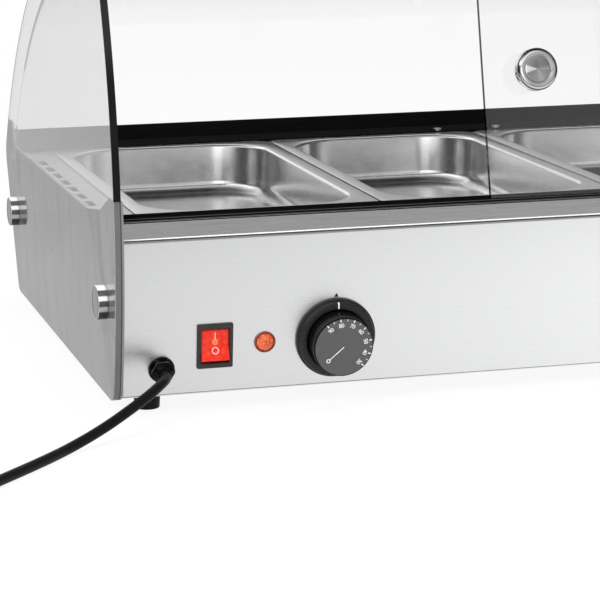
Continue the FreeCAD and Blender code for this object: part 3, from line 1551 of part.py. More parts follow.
bad = [item.Label for item in doc.Objects if "Invalid" in item.State or "Error" in item.State]
assert not bad, "failed: %s" % bad
for name, thing in nodes.items():
    shape = thing.Shape
    assert not shape.isNull() and shape.isValid() and shape.Solids, name
    assert thing.Label == name, name

os.makedirs("parts", exist_ok=True)
for name, thing in nodes.items():
    thing.Shape.exportStep(os.path.join("parts", name + ".step"))
box_all = nodes["side_glass_left"].Shape.BoundBox
for name in object_names:
    box_all.add(nodes[name].Shape.BoundBox)
print(len(nodes), "nodes; size", round(box_all.XLength, 2), round(box_all.YLength, 2),
      round(box_all.ZLength, 2), "low", round(box_all.XMin, 2), round(box_all.YMin, 2),
      round(box_all.ZMin, 2))
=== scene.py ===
import bpy
import bmesh
import math
from mathutils import Matrix, Vector


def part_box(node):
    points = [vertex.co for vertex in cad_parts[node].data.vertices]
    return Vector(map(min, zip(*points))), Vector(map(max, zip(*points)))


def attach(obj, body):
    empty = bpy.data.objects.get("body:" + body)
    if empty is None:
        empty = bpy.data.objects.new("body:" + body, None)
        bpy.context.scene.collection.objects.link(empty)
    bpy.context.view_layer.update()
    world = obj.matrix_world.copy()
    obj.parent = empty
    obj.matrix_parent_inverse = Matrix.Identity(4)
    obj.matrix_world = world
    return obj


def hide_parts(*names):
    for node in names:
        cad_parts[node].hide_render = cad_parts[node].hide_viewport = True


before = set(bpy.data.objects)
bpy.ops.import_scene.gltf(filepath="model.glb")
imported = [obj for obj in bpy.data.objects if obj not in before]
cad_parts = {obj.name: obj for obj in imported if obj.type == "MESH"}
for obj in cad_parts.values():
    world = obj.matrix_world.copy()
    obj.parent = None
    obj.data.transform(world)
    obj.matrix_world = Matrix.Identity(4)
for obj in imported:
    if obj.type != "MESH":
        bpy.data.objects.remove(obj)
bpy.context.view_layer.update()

# Sizes in the dictionaries are in millimetres. Places count from the cabinet corner: X from
# the left side glass, Y from the foot of the control panel, Z from the housing's lower edge.
cabinet = dict(width=766.0, footHeight=13.0, panelFootY=7.25, panelTilt=7.0, deckNearY=-9.0)
gap = 0.02  # keeps a fitted piece just off the sheet behind it
xAxis, zAxis = Vector((1, 0, 0)), Vector((0, 0, 1))
middleY = cabinet["deckNearY"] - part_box("deck")[0][1] * 1000
panelTilt = math.radians(cabinet["panelTilt"])
panelUp = Vector((0, -math.sin(panelTilt), math.cos(panelTilt)))
panelOut = Vector((0, -math.cos(panelTilt), -math.sin(panelTilt)))


def toFrame(x, y, z):  # a place in the cabinet, in the frame's metres
    return Vector(((x - cabinet["width"] / 2) / 1000, (y - middleY) / 1000,
                   (z + cabinet["footHeight"]) / 1000))


def shiftTo(x=0.0, y=0.0, z=0.0):
    return Matrix.Translation(toFrame(x, y, z))


def turnTo(right, up):  # local X runs right, local Y up
    return Matrix((right, up, right.cross(up))).transposed().to_4x4()


def panelPlace(x, up, out=0.0):  # local X runs right, Y up the panel, Z out of it
    spot = Vector((0, cabinet["panelFootY"], 0)) + panelUp * up + panelOut * out
    return shiftTo(x, spot.y, spot.z) @ turnTo(xAxis, panelUp)


# Materials: node helpers, then the finishes. A fixed value is set on the socket itself, and
# only what changes over the surface is linked.

materials = {}


def newMaterial(name):  # gives the new material's empty node tree
    material = bpy.data.materials.new(name)
    material.use_nodes = True
    material.node_tree.nodes.clear()
    materials[name] = material
    return material.node_tree


def setAll(thing, **settings):
    for name, value in settings.items():
        setattr(thing, name, value)


def addNode(tree, kind, output, inputs, **settings):
    node = tree.nodes.new("ShaderNode" + kind)
    setAll(node, **settings)
    for name, value in inputs.items():
        if isinstance(value, bpy.types.NodeSocket):
            tree.links.new(value, node.inputs[name])
        else:
            node.inputs[name].default_value = value
    return node.outputs[output] if output else node


def objectPlace(tree, stretch=(1, 1, 1)):  # object coordinates in metres, scaled on each axis
    place = addNode(tree, "TexCoord", "Object", {})
    return addNode(tree, "Mapping", "Vector", {"Vector": place, "Scale": stretch})


def partsOf(tree, vector):
    return addNode(tree, "SeparateXYZ", None, {"Vector": vector}).outputs


def noiseOf(tree, vector, scale, detail):
    return addNode(tree, "TexNoise", "Fac", {"Vector": vector, "Scale": scale, "Detail": detail})


def rampOf(tree, factor, stops):
    node = addNode(tree, "ValToRGB", None, {"Fac": factor})
    marks = node.color_ramp.elements
    while len(marks) < len(stops):
        marks.new(0.5)
    for mark, (position, shade) in zip(marks, stops):
        mark.position = position
        mark.color = (*shade, 1) if isinstance(shade, tuple) else (shade, shade, shade, 1)
    return node.outputs["Color"]


def bumpOf(tree, grain, bump):
    return addNode(tree, "Bump", "Normal", {"Strength": bump[0], "Distance": bump[1] / 1e6,
                                            "Height": grain})


def mathOf(tree, operation, first, second=0.0):
    return addNode(tree, "Math", "Value", {0: first, 1: second}, operation=operation)


def rangeOf(tree, amount, start, end, low=0.0, high=1.0):
    return addNode(tree, "MapRange", "Result", {"Value": amount, "From Min": start,
                                                "From Max": end, "To Min": low, "To Max": high})


def blendOf(tree, share, first, second):
    return addNode(tree, "Mix", "Result", {"Factor": share, "A": first, "B": second},
                   data_type="FLOAT")


def mixOf(tree, share, first, second):
    return addNode(tree, "MixShader", "Shader", {"Fac": share, 1: first, 2: second})


def rayOf(tree, output):
    return addNode(tree, "LightPath", output, {})


def showSurface(tree, shader):
    addNode(tree, "OutputMaterial", None, {"Surface": shader})


# A finish is noise between two tones and two roughnesses, with a fine relief of the same grain.
# A tone is a grey or a colour, a bump its strength and its height in micrometres, a glow its
# colour and strength.
brushed = dict(stretch=(2, 220, 220), scale=12)
finishes = {
    "brushedPanel": dict(brushed, tone=(0.84, 0.845, 0.85), spread=0.018, metallic=1.0,
                         rough=(0.26, 0.34), detail=4, bump=(0.05, 30)),
    # the deck and its fascia: a darker copy of the panel's brushed steel, painted shade for the
    # darker things they mirror
    "brushedDeckPaintedShade": dict(brushed, tone=(0.58, 0.58, 0.585), metallic=1.0, rough=(0.25, 0.33),
                        detail=4, bump=(0.05, 30)),
    "panSatin": dict(tone=0.74, spread=0.01, metallic=1.0, rough=(0.19, 0.23), scale=90,
                     detail=4, bump=(0.02, 10)),
    "tubSteel": dict(tone=(0.45, 0.445, 0.44), spread=0.05, metallic=1.0, rough=(0.35, 0.5),
                     scale=60, detail=5, bump=(0.1, 100)),
    "blackGloss": dict(tone=0.005, spread=0.001, rough=(0.08, 0.14), scale=40,
                       bump=(0.02, 30), specular=0.2),
    "plateGrey": dict(tone=(0.20, 0.20, 0.198), spread=0.01, rough=(0.3, 0.4), scale=60,
                      detail=4, specular=0.2),
    "blackSatin": dict(tone=0.006, spread=0.002, rough=(0.32, 0.42), stretch=(2, 60, 60),
                       scale=30, detail=4, bump=(0.06, 50), specular=0.0),
    # painted highlights on the tops of the track's ribs
    "paintedRibHighlight": dict(brushed, tone=0.075, spread=0.01, rough=(0.4, 0.5), specular=0.0),
    "glandBlack": dict(tone=0.0025, spread=0.001, rough=(0.10, 0.15), scale=900, detail=2,
                       bump=(0.06, 30), specular=0.12),
    "bezelBlack": dict(tone=(0.036, 0.031, 0.031), spread=0.006, rough=(0.35, 0.45),
                       scale=900, detail=2, bump=(0.08, 40), specular=0.15),
    "blackMould": dict(tone=0.007, spread=0.002, rough=(0.18, 0.26), scale=900, detail=2,
                       bump=(0.08, 40), specular=0.12),
    "ringBlack": dict(tone=0.018, spread=0.004, rough=(0.24, 0.32), scale=900, detail=2,
                      bump=(0.06, 30), specular=0.2),
    "dialSide": dict(tone=0.003, spread=0.001, rough=(0.2, 0.28), scale=700, detail=2,
                     bump=(0.05, 30), specular=0.08),
    "dialGrey": dict(tone=(0.070, 0.072, 0.071), spread=0.006, rough=(0.4, 0.5), scale=900,
                     bump=(0.05, 30)),
    "markPink": dict(tone=(0.86, 0.42, 0.40), rough=(0.4, 0.5), scale=800, detail=2,
                     bump=(0.03, 20)),
    # the glass's ground edge; also painted shade along the fold at the panel's foot
    "groundEdgeAndFootShade": dict(tone=(0.115, 0.117, 0.115), spread=0.01, rough=(0.35, 0.45), scale=900,
                       bump=(0.06, 30)),
    # painted highlight along the outer side of the glass edge
    "paintedEdgeHighlight": dict(tone=(0.30, 0.305, 0.30), rough=(0.2, 0.3), scale=900,
                      bump=(0.03, 20)),
    # painted highlight: a bright strip for the light on the fascia's rounded bead
    "paintedBeadHighlight": dict(brushed, tone=0.86, rough=(0.2, 0.3)),
    # painted shade below the fascia's hem
    "foldShade": dict(brushed, tone=(0.46, 0.46, 0.465), metallic=1.0, rough=(0.3, 0.4)),
    # painted shade: a dark strip in the gap under the fascia and beside each side glass's edge
    "paintedGapShade": dict(tone=0.05, spread=0.01, rough=(0.5, 0.6), scale=500,
                     bump=(0.04, 20), specular=0.2),
    "printWhite": dict(tone=(0.80, 0.80, 0.78), rough=(0.5, 0.6), scale=800, detail=2,
                       bump=(0.03, 20)),
    "polishedSteel": dict(tone=(0.62, 0.62, 0.625), metallic=1.0, rough=(0.10, 0.16),
                          stretch=(400, 400, 20), scale=8, bump=(0.05, 20)),
    # the caps' end faces: a darker copy of the polished steel, painted shade
    "capFace": dict(tone=0.24, metallic=1.0, rough=(0.18, 0.24), scale=300,
                    bump=(0.03, 10)),
    # the knob's neck: a darker copy of the polished steel, its darkness painted shade for the dark
    # things it mirrors
    "neckSteel": dict(tone=0.10, spread=0.01, metallic=1.0, rough=(0.12, 0.18), scale=300,
                      bump=(0.02, 10)),
    "zincSteel": dict(tone=(0.55, 0.56, 0.57), spread=0.05, metallic=1.0, rough=(0.28, 0.42),
                      scale=400, detail=4, bump=(0.08, 30)),
    # the red rocker's faint glow is painted light, lifting the red and evening out its shading
    "redRocker": dict(tone=(0.60, 0.032, 0.012), rough=(0.16, 0.22), scale=300, detail=2,
                      glow=(0.80, 0.02, 0.010, 0.13), specular=0.2),
    "amberGlow": dict(tone=(0.70, 0.14, 0.03), spread=0.05, rough=(0.3, 0.4), scale=600,
                      glow=(1.0, 0.18, 0.02, 0.18)),
    "lampOrange": dict(tone=(0.62, 0.13, 0.02), spread=0.09, rough=(0.08, 0.14), scale=500,
                       glow=(0.80, 0.12, 0.02, 0.08), specular=0.3),
    "lampRim": dict(tone=(0.20, 0.025, 0.01), rough=(0.15, 0.22), scale=500),
    "rubber": dict(tone=0.006, spread=0.002, rough=(0.4, 0.55), scale=1400,
                   bump=(0.2, 100), specular=0.15),
    "cordSkin": dict(tone=0.006, spread=0.002, rough=(0.34, 0.42), scale=900,
                     bump=(0.06, 50), specular=0.10),
    "elementSheath": dict(tone=(0.16, 0.15, 0.14), spread=0.06, metallic=1.0,
                          rough=(0.45, 0.6), scale=200, detail=5, bump=(0.1, 60)),
    "ceramicWhite": dict(tone=(0.78, 0.75, 0.68), spread=0.03, rough=(0.5, 0.6), scale=500,
                         detail=4, bump=(0.08, 50)),
    "nylonWhite": dict(tone=(0.80, 0.80, 0.77), rough=(0.35, 0.45), scale=500,
                       bump=(0.03, 30)),
    "paleCase": dict(tone=(0.66, 0.60, 0.48), spread=0.03, rough=(0.35, 0.45), scale=600,
                     bump=(0.05, 30)),
    "brassMetal": dict(tone=(0.72, 0.53, 0.22), spread=0.05, metallic=1.0, rough=(0.22, 0.32),
                       scale=500, bump=(0.05, 30)),
    "copperTube": dict(tone=(0.72, 0.36, 0.22), spread=0.05, metallic=1.0, rough=(0.25, 0.38),
                       scale=500, bump=(0.05, 30)),
    "wireCover": dict(tone=(0.012, 0.011, 0.011), spread=0.003, rough=(0.3, 0.4), scale=700,
                      bump=(0.04, 30)),
}


def makeFinish(name, tone, rough, scale, spread=0.02, metallic=0.0, stretch=(1, 1, 1),
               detail=3, bump=(0.02, 20), specular=0.5, glow=None):
    tree = newMaterial(name)
    tone = tone if isinstance(tone, tuple) else (tone,) * 3
    tones = [tuple(min(max(part + change, 0.0), 1.0) for part in tone)
             for change in (-spread, spread)]
    grain = noiseOf(tree, objectPlace(tree, stretch), scale, detail)
    inputs = {
        "Base Color": rampOf(tree, grain, list(zip((0.3, 0.7), tones))),
        "Roughness": rampOf(tree, grain, list(zip((0.3, 0.7), rough))),
        "Normal": bumpOf(tree, grain, bump),
        "Metallic": metallic,
        "Specular IOR Level": specular,
    }
    if glow:
        inputs.update({"Emission Color": (*glow[:3], 1), "Emission Strength": glow[3]})
    showSurface(tree, addNode(tree, "BsdfPrincipled", "BSDF", inputs))


# Turned surfaces: a knob's face and a cap's side. Their tones are painted highlights and painted
# reflections, laid into the colour as fans round the axis; the grooves are only a fine bump. The
# tones go once round the axis and start opposite local X.
spunLooks = {
    "spunSteel": dict(
        paintedSheen=[(0.0, 0.95), (0.035, 0.88), (0.055, 0.34), (0.20, 0.42), (0.30, 0.60), (0.36, 0.50),
             (0.46, 0.42), (0.50, 0.56), (0.56, 0.34), (0.80, 0.26), (0.935, 0.30), (0.965, 0.90),
             (1.0, 0.95)],
        metallic=1.0, rough=0.26, anisotropic=0.5, groovesPerMetre=4200.0),
    "capSide": dict(
        paintedSheen=[(0.0, 0.05), (0.010, 0.06), (0.020, 0.42), (0.055, 0.42), (0.072, 0.02),
             (0.12, 0.008), (0.38, 0.008), (0.428, 0.02), (0.445, 0.42), (0.48, 0.42),
             (0.49, 0.06), (0.536, 0.05), (0.546, 0.90), (0.58, 0.90), (0.592, 0.10),
             (0.645, 0.085), (0.66, 0.95), (0.84, 0.95), (0.855, 0.085), (0.908, 0.10),
             (0.92, 0.90), (0.954, 0.90), (0.964, 0.05), (1.0, 0.05)],
        metallic=0.0, rough=0.22, anisotropic=0.0, groovesPerMetre=2600.0),
}


# paints the highlights and reflections into the base colour by the angle round the axis
def makeSpun(name, paintedSheen, metallic, rough, anisotropic, groovesPerMetre):
    tree = newMaterial(name)
    place = objectPlace(tree)
    parts = partsOf(tree, place)
    angle = mathOf(tree, "ARCTAN2", parts["Y"], parts["X"])
    turn = rangeOf(tree, angle, -math.pi, math.pi)
    reach = addNode(tree, "VectorMath", "Value", {0: place}, operation="LENGTH")
    wave = mathOf(tree, "SINE", mathOf(tree, "MULTIPLY", reach, groovesPerMetre * 2 * math.pi))
    showSurface(tree, addNode(tree, "BsdfPrincipled", "BSDF", {
        "Base Color": rampOf(tree, turn, paintedSheen),
        "Normal": bumpOf(tree, wave, (0.04, 20)),
        "Tangent": addNode(tree, "Tangent", "Tangent", {}, direction_type="RADIAL", axis="Z"),
        "Anisotropic": anisotropic, "Metallic": metallic, "Roughness": rough}))


glassLook = dict(
    tint=(0.984, 0.988, 0.987), roughness=(0.0, 0.012), smudgeScale=9.0,
    shadowTint=(0.93, 0.95, 0.94), bend={"clearGlass": 1.5, "guardClear": 1.15})


def makeGlass(name, bend):  # shadows and soft light pass straight through
    tree = newMaterial(name)
    smudge = noiseOf(tree, objectPlace(tree), glassLook["smudgeScale"], 5)
    glass = addNode(tree, "BsdfPrincipled", "BSDF", {
        "Base Color": (*glassLook["tint"], 1), "Transmission Weight": 1.0, "IOR": bend,
        "Roughness": rampOf(tree, smudge, list(zip((0.45, 0.8), glassLook["roughness"])))})
    clear = addNode(tree, "BsdfTransparent", "BSDF", {"Color": (*glassLook["shadowTint"], 1)})
    straight = mathOf(tree, "MAXIMUM", rayOf(tree, "Is Shadow Ray"), rayOf(tree, "Is Diffuse Ray"))
    showSurface(tree, mixOf(tree, straight, glass, clear))


for name, look in finishes.items():
    makeFinish(name, **look)
for name, bend in glassLook["bend"].items():
    makeGlass(name, bend)
for name, look in spunLooks.items():
    makeSpun(name, **look)
print("materials made:", len(materials))

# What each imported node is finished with

nodeFinish = {
    "brushedPanel": "control_panel customer_panel",
    "brushedDeckPaintedShade": "deck pan_support_bars bottom_plate end_wall_left end_wall_right",
    "tubSteel": "heating_tub element_clips",
    "elementSheath": "heating_element_left heating_element_right",
    "ceramicWhite": "element_insulators terminal_block",
    "clearGlass": "side_glass_left side_glass_right left_door_glass right_door_glass",
    "guardClear": "guard_glass",
    "plateGrey": "side_plate_left side_plate_right",
    "blackGloss": "edge_trims top_cover",
    "blackSatin": "guard_channel lower_door_track upper_door_track top_beam",
    "nylonWhite": "glass_bushings",
    "zincSteel": "glass_studs stud_nuts case_screws left_knob_screw right_knob_screw "
                 "thermostat_shaft",
    "polishedSteel": "glass_caps left_door_knob right_door_knob",
    "panSatin": "pan_1 pan_2 pan_3 pan_4",
    "blackMould": "thermostat_bezel lamp_body plug_body",
    "bezelBlack": "switch_housing",
    "glandBlack": "gland_body gland_nuts",
    "redRocker": "switch_rocker",
    "lampOrange": "lamp_lens",
    "dialGrey": "thermostat_dial",
    "paleCase": "thermostat_body safety_cutout",
    "brassMetal": "switch_terminals plug_pins",
    "copperTube": "thermostat_sensor",
    "wireCover": "internal_wires",
    "rubber": "feet",
    "cordSkin": "cord_lead cord_coil cord_tail",
}
for finish, names in nodeFinish.items():
    for name in names.split():
        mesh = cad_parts[name].data
        mesh.materials.clear()
        mesh.materials.append(materials[finish])
print("packed nodes finished:", sum(len(names.split()) for names in nodeFinish.values()))


# Mesh helpers. A form is its points, in millimetres, and its faces. An object's matrix holds its
# place in metres.

meshLook = dict(weld=0.001, sharpAngle=32)


def addObject(name, data, matrix=None):
    thing = bpy.data.objects.new(name, data)
    bpy.context.collection.objects.link(thing)
    if matrix is not None:
        thing.matrix_world = matrix
    return thing


def makePiece(name, form, finish, matrix, body="cabinet", smooth=True, replaced=None):
    points, faces = form
    mesh = bpy.data.meshes.new(name)
    mesh.from_pydata([tuple(part / 1000 for part in point) for point in points], [], faces)
    mesh.validate()
    clean = bmesh.new()
    clean.from_mesh(mesh)
    bmesh.ops.remove_doubles(clean, verts=clean.verts, dist=meshLook["weld"] / 1000)
    bmesh.ops.recalc_face_normals(clean, faces=clean.faces)
    clean.to_mesh(mesh)
    clean.free()
    for part in finish.split():
        mesh.materials.append(materials[part])
    piece = addObject(name, mesh, matrix)
    if smooth:
        mesh.shade_smooth()
        mesh.set_sharp_from_angle(angle=math.radians(meshLook["sharpAngle"]))
    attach(piece, body)
    if replaced:
        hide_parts(replaced)
    return piece


def finishFacets(piece, choose):  # choose gives a finish's number from a facet's corners
    for facet in piece.data.polygons:
        facet.material_index = choose([piece.data.vertices[index].co * 1000
                                       for index in facet.vertices])


def circle(steps, more=0):  # directions round Z
    angles = [2 * math.pi * step / steps for step in range(steps + more)]
    return [(math.cos(angle), math.sin(angle)) for angle in angles]


def turnedForm(profile, steps=96, closeStart=True, closeEnd=True):
    # a profile of radius and height turned about Z
    points, faces, rings = [], [], []
    for radius, height in profile:
        spots = circle(steps)[:1 if radius < 1e-6 else steps]
        rings.append([len(points) + step for step in range(len(spots))])
        points += [(radius * x, radius * y, height) for x, y in spots]
    for low, high in zip(rings, rings[1:]):
        for step in range(steps):
            after = (step + 1) % steps
            corners = [low[step % len(low)], low[after % len(low)],
                       high[after % len(high)], high[step % len(high)]]
            faces.append(tuple(dict.fromkeys(corners)))
    if closeStart and len(rings[0]) > 1:
        faces.append(tuple(reversed(rings[0])))
    if closeEnd and len(rings[-1]) > 1:
        faces.append(tuple(rings[-1]))
    return points, faces


def roundCorner(centreX, centreY, radius, fromAngle, toAngle, steps=5):
    angles = [math.radians(fromAngle + (toAngle - fromAngle) * step / steps)
              for step in range(steps + 1)]
    return [(centreX + radius * math.cos(angle), centreY + radius * math.sin(angle))
            for angle in angles]


def roundedOutline(left, low, right, high, radius, steps):
    corners = [(right - radius, low + radius, -90), (right - radius, high - radius, 0),
               (left + radius, high - radius, 90), (left + radius, low + radius, 180)]
    return [spot for x, y, start in corners
            for spot in roundCorner(x, y, radius, start, start + 90, steps)]


def flatRing(outline, z):
    return [(x, y, z) for x, y in outline]


def loftRings(rings, closed=False):
    points = [point for ring in rings for point in ring]
    count = len(rings[0])
    faces = []
    for start in range(0, len(points) - count, count):
        for step in range(count):
            after = (step + 1) % count
            faces.append((start + step, start + after, start + count + after,
                          start + count + step))
    if closed:
        faces.append(tuple(reversed(range(count))))
        faces.append(tuple(range(len(points) - count, len(points))))
    return points, faces


def alongX(outline, start, end):  # an outline in Y and Z, drawn out along X
    return loftRings([[(x, y, z) for y, z in outline] for x in (start, end)], True)


def alongZ(outline, low, high):
    return loftRings([flatRing(outline, low), flatRing(outline, high)], True)


def joinForms(forms):
    points, faces = [], []
    for more, sides in forms:
        faces += [tuple(corner + len(points) for corner in side) for side in sides]
        points += more
    return points, faces


# Pans: rim with a turned-down edge, rounded mouth, tapered walls and a rounded floor

panShape = dict(
    firstX=28.0, pitch=178.0, nearY=36.0, width=176.0, depth=325.0, rimTop=121.3, sheet=1.0,
    rim=12.0, rimCorner=12.0, corner=40.0, leastCorner=12.0, mouthRound=2.5, floorRound=10.0,
    floorDepth=39.0, draft=2.0)


def makePans(firstX, pitch, nearY, width, depth, rimTop, sheet, rim, rimCorner, corner,
             leastCorner, mouthRound, floorRound, floorDepth, draft):
    def ring(inset, z, bend):
        outline = roundedOutline(inset, inset, width - inset, depth - inset, bend, 14)
        return flatRing(outline, z)

    def skin(thick):  # rings from the rim down to the floor, inside or under the sheet
        rimZ, wall = rimTop - thick, rim - thick
        mouth, bend = max(mouthRound - thick, 0.3), floorRound + thick
        foot = wall + math.tan(math.radians(draft)) * (floorDepth - bend)
        spots = roundCorner(wall - mouth, rimZ - mouth, mouth, 90, draft, 6)
        spots += roundCorner(foot + bend, rimZ - floorDepth + bend, bend, 180, 270, 8)
        return [ring(inset, z, max(corner + rim - inset, leastCorner)) for inset, z in spots]

    edge = [ring(inset, rimTop - drop, rimCorner)
            for inset, drop in ((0.3, sheet), (0.0, sheet - 0.2), (0.0, 0.35), (0.12, 0.1),
                                (0.4, 0.0))]
    form = loftRings(skin(sheet)[::-1] + edge + skin(0.0), True)
    for index, name in enumerate(("one", "two", "three", "four")):
        makePiece("pan" + name.capitalize(), form, "panSatin",
                  shiftTo(firstX + index * pitch, nearY), "pan_" + name,
                  replaced="pan_%d" % (index + 1))


makePans(**panShape)
print("pans made")

# Polished caps on the side glasses, with painted reflection bands on their sides and painted shade
# on their end faces

capShape = dict(
    bore=3.1, radius=11.75, length=7.0, edge=0.7,
    places=[(18.0, 66.2), (395.0, 67.0), (72.0, 292.48)])


def makeCaps(bore, radius, length, edge, places):
    profile = [(bore, gap), (radius - 0.25, gap), (radius, 0.3), (radius, length - edge)]
    profile += roundCorner(radius - edge, length - edge, edge, 0, 90)
    profile += [(radius - 1.6, length), (radius - 1.75, length - 0.12), (0.0, length - 0.12)]
    form = turnedForm(profile)

    def choose(corners):  # the face inside the chamfer, the side, and the chamfer itself
        heights = [corner.z for corner in corners]
        return 2 if min(heights) > length - 0.2 else int(max(heights) < length - edge + 0.1)

    pieces = []
    for side, x, sense in (("Left", 0.0, -1), ("Right", cabinet["width"], 1)):
        for number, (y, z) in enumerate(places):
            matrix = shiftTo(x, y, z) @ turnTo(Vector((0, sense, 0)), zAxis)
            pieces.append(makePiece("cap%s%d" % (side, number + 1), form,
                                    "polishedSteel capSide capFace",
                                    matrix))
            finishFacets(pieces[-1], choose)
    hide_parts("glass_caps")


makeCaps(**capShape)

# Ground edge of each side glass, from its lower corner up to the black strip, with a painted
# highlight along its outer side and painted shade along its inner side

edgeShape = dict(
    arcCentre=(380.0, 117.0), arcRadius=400.0, corner=12.0, highZ=141.2, stand=0.12, sink=0.05,
    bands=[("paintedEdgeHighlight", 0.0, 0.4), ("groundEdgeAndFootShade", 0.4, 4.2), ("paintedGapShade", 4.2, 5.0)])


def makeEdges(arcCentre, arcRadius, corner, highZ, stand, sink, bands):
    centreY, centreZ = arcCentre
    low = math.asin((corner - centreZ) / (arcRadius - corner))
    high = math.asin((highZ - centreZ) / arcRadius)
    cornerY = centreY - (arcRadius - corner) * math.cos(low)
    turns = [(cornerY, corner, corner, -math.pi / 2 + (low + math.pi / 2) * step / 8)
             for step in range(1, 8)]
    turns += [(centreY, centreZ, arcRadius, low + (high - low) * step / 24)
              for step in range(25)]
    for side, start, sense in (("Left", 0.0, 1), ("Right", cabinet["width"], -1)):
        for finish, inner, outer in bands:
            rings = [[(start + sense * x, midY - (reach + lift) * math.cos(angle),
                       midZ + (reach + lift) * math.sin(angle))
                      for lift, x in ((stand, inner), (stand, outer), (-sink, outer),
                                      (-sink, inner))]
                     for midY, midZ, reach, angle in turns]
            makePiece(finish + side, loftRings(rings, True), finish, shiftTo(),
                      smooth=False)


makeEdges(**edgeShape)

# Strips along the housing's folds and the thin parts of the lower track: finish, then Y and Z
# limits. The bead and the track ribs carry painted highlights; the gap, shade and foot strips are
# painted shade.

foldShape = dict(
    inset=6.9,
    strips={
        "bead": ("paintedBeadHighlight", -9.35, -8.6, 112.45, 113.3),
        # painted shade in the gap under the fascia's hem
        "seam": ("paintedGapShade", -9.0, -6.6, 111.35, 112.45),
        # painted shade on the panel below the fascia's hem
        "shade": ("foldShade", -6.45, -6.0, 109.6, 111.35),
        # painted shade along the fold at the panel's foot
        "footLine": ("groundEdgeAndFootShade", 7.05, 7.35, 0.7, 1.15),
        "trackSkirt": ("blackSatin", -9.05, -7.9, 123.95, 124.66),
        "trackLip": ("blackSatin", 19.9, 21.0, 121.0, 125.3),
        # painted highlights on the rib tops
        "trackRib": ("paintedRibHighlight", -3.8, -3.08, 124.1, 124.56),
        "grooveRib": ("paintedRibHighlight", 5.28, 6.0, 124.1, 124.56),
    })


def makeFolds(inset, strips):
    for name, (finish, near, far, low, high) in strips.items():
        soft = min(far - near, high - low) * 0.3
        form = alongX(roundedOutline(near, low, far, high, soft, 4), inset,
                      cabinet["width"] - inset)
        makePiece("fold" + name.capitalize(), form, finish, shiftTo())


makeFolds(**foldShape)
print("edges and folds made")

# Door knobs: a turned head with a recessed spun face on a grooved neck; the face carries painted
# highlights and the neck painted shade

knobShape = dict(
    along=90.4, lean=12.3, baseZ=122.002, bore=2.1, head=15.0, neck=10.6, neckLength=11.0,
    grooves=(2.6, 5.2, 7.8), length=20.0, rimRound=3.2, backRound=0.9, dish=10.2, dishDeep=1.5)


def makeKnob(side, along, lean, baseZ, bore, head, neck, neckLength, grooves, length, rimRound,
             backRound, dish, dishDeep):
    floor = length - dishDeep
    profile = [(bore, 0.0), (neck - 0.3, 0.0), (neck, 0.3), (neck, 1.6)]
    for height in grooves:
        profile += [(neck, height), (neck - 0.45, height + 0.3), (neck - 0.45, height + 0.8),
                    (neck, height + 1.1)]
    profile += [(neck, neckLength - 0.4), (neck + 0.5, neckLength + 0.15)]
    profile += roundCorner(head - backRound, neckLength + 1.35, backRound, -80, 0)
    profile += roundCorner(head - rimRound, length - rimRound, rimRound, 0, 90, 10)
    profile += roundCorner(dish + 0.5, length - 0.5, 0.5, 90, 180, 4)
    profile += [(dish, floor), (dish - 0.5, floor), (dish - 0.9, floor + 0.35),
                (dish - 1.3, floor + 0.45), (0.0, floor + 0.3)]
    tilt = math.radians(lean)
    up = Vector((0, math.sin(tilt), math.cos(tilt)))
    low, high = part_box(side + "_door_knob")
    foot = Vector(((low[0] + high[0]) / 2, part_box(side + "_door_glass")[0][1],
                   (baseZ + cabinet["footHeight"]) / 1000))
    matrix = Matrix.Translation(foot + up * (along / 1000)) @ turnTo(xAxis, up)
    knob = makePiece(side + "Knob", turnedForm(profile, 128), "polishedSteel spunSteel neckSteel",
                     matrix, side + "_door", replaced=side + "_door_knob")

    def choose(corners):  # the spun face, the neck, and the head between them
        heights = [corner.z for corner in corners]
        if max(corner.xy.length for corner in corners) < dish - 0.6 and \
                min(heights) > floor - 0.1:
            return 1
        return 2 if max(heights) < neckLength + 0.6 else 0

    finishFacets(knob, choose)


for side in ("left", "right"):
    makeKnob(side, **knobShape)
print("caps and knobs made")

# Switch: bezel and well with rounded edges

switchShape = dict(
    x=72.9, up=34.15, bezel=(25.4, 32.0), rise=2.0, body=(21.8, 27.8, 24.0),
    opening=(20.0, 24.6), cavity=7.8)


def makeSwitch(x, up, bezel, rise, body, opening, cavity):
    wide, high = bezel[0] / 2, bezel[1] / 2
    bodyWide, bodyHigh, bodyDeep = body[0] / 2, body[1] / 2, body[2]
    innerWide, innerHigh = opening[0] / 2, opening[1] / 2
    rows = [(bodyWide, bodyHigh, -bodyDeep, 0.6), (bodyWide, bodyHigh, gap, 0.6),
            (wide, high, gap, 1.1)]
    rows += [(wide - inset, high - inset, rise - drop, corner)
             for inset, drop, corner in ((0.0, 0.9, 1.1), (0.12, 0.45, 1.0), (0.45, 0.12, 0.8),
                                         (0.9, 0.0, 0.6))]
    rows += [(innerWide + out, innerHigh + out, rise - drop, corner)
             for out, drop, corner in ((0.5, 0.0, 0.7), (0.1, 0.25, 0.5), (0.0, 0.6, 0.4))]
    rows += [(innerWide, innerHigh, -cavity, 0.4)]
    rings = [flatRing(roundedOutline(-halfWide, -halfHigh, halfWide, halfHigh, corner, 5), z)
             for halfWide, halfHigh, z, corner in rows]
    makePiece("switchHousing", loftRings(rings, True), "bezelBlack",
              panelPlace(x, up), replaced="switch_housing")


# Rocker: two arcs with a valley between them, and its marks laid over its top

rockerShape = dict(
    width=19.4, radius=12.0, angle=11.0, pivot=3.0, valley=3.8, crest=5.6, low=-2.0, curve=1.35,
    edge=0.5, edgeAngle=40, markRise=0.12, markSink=0.3,
    line=dict(centre=6.3, height=5.0, width=0.7),
    ring=dict(centre=-3.9, radius=2.6, stroke=0.8),
    spot=dict(centre=2.1, radius=2.3, rise=0.06, fall=0.04))


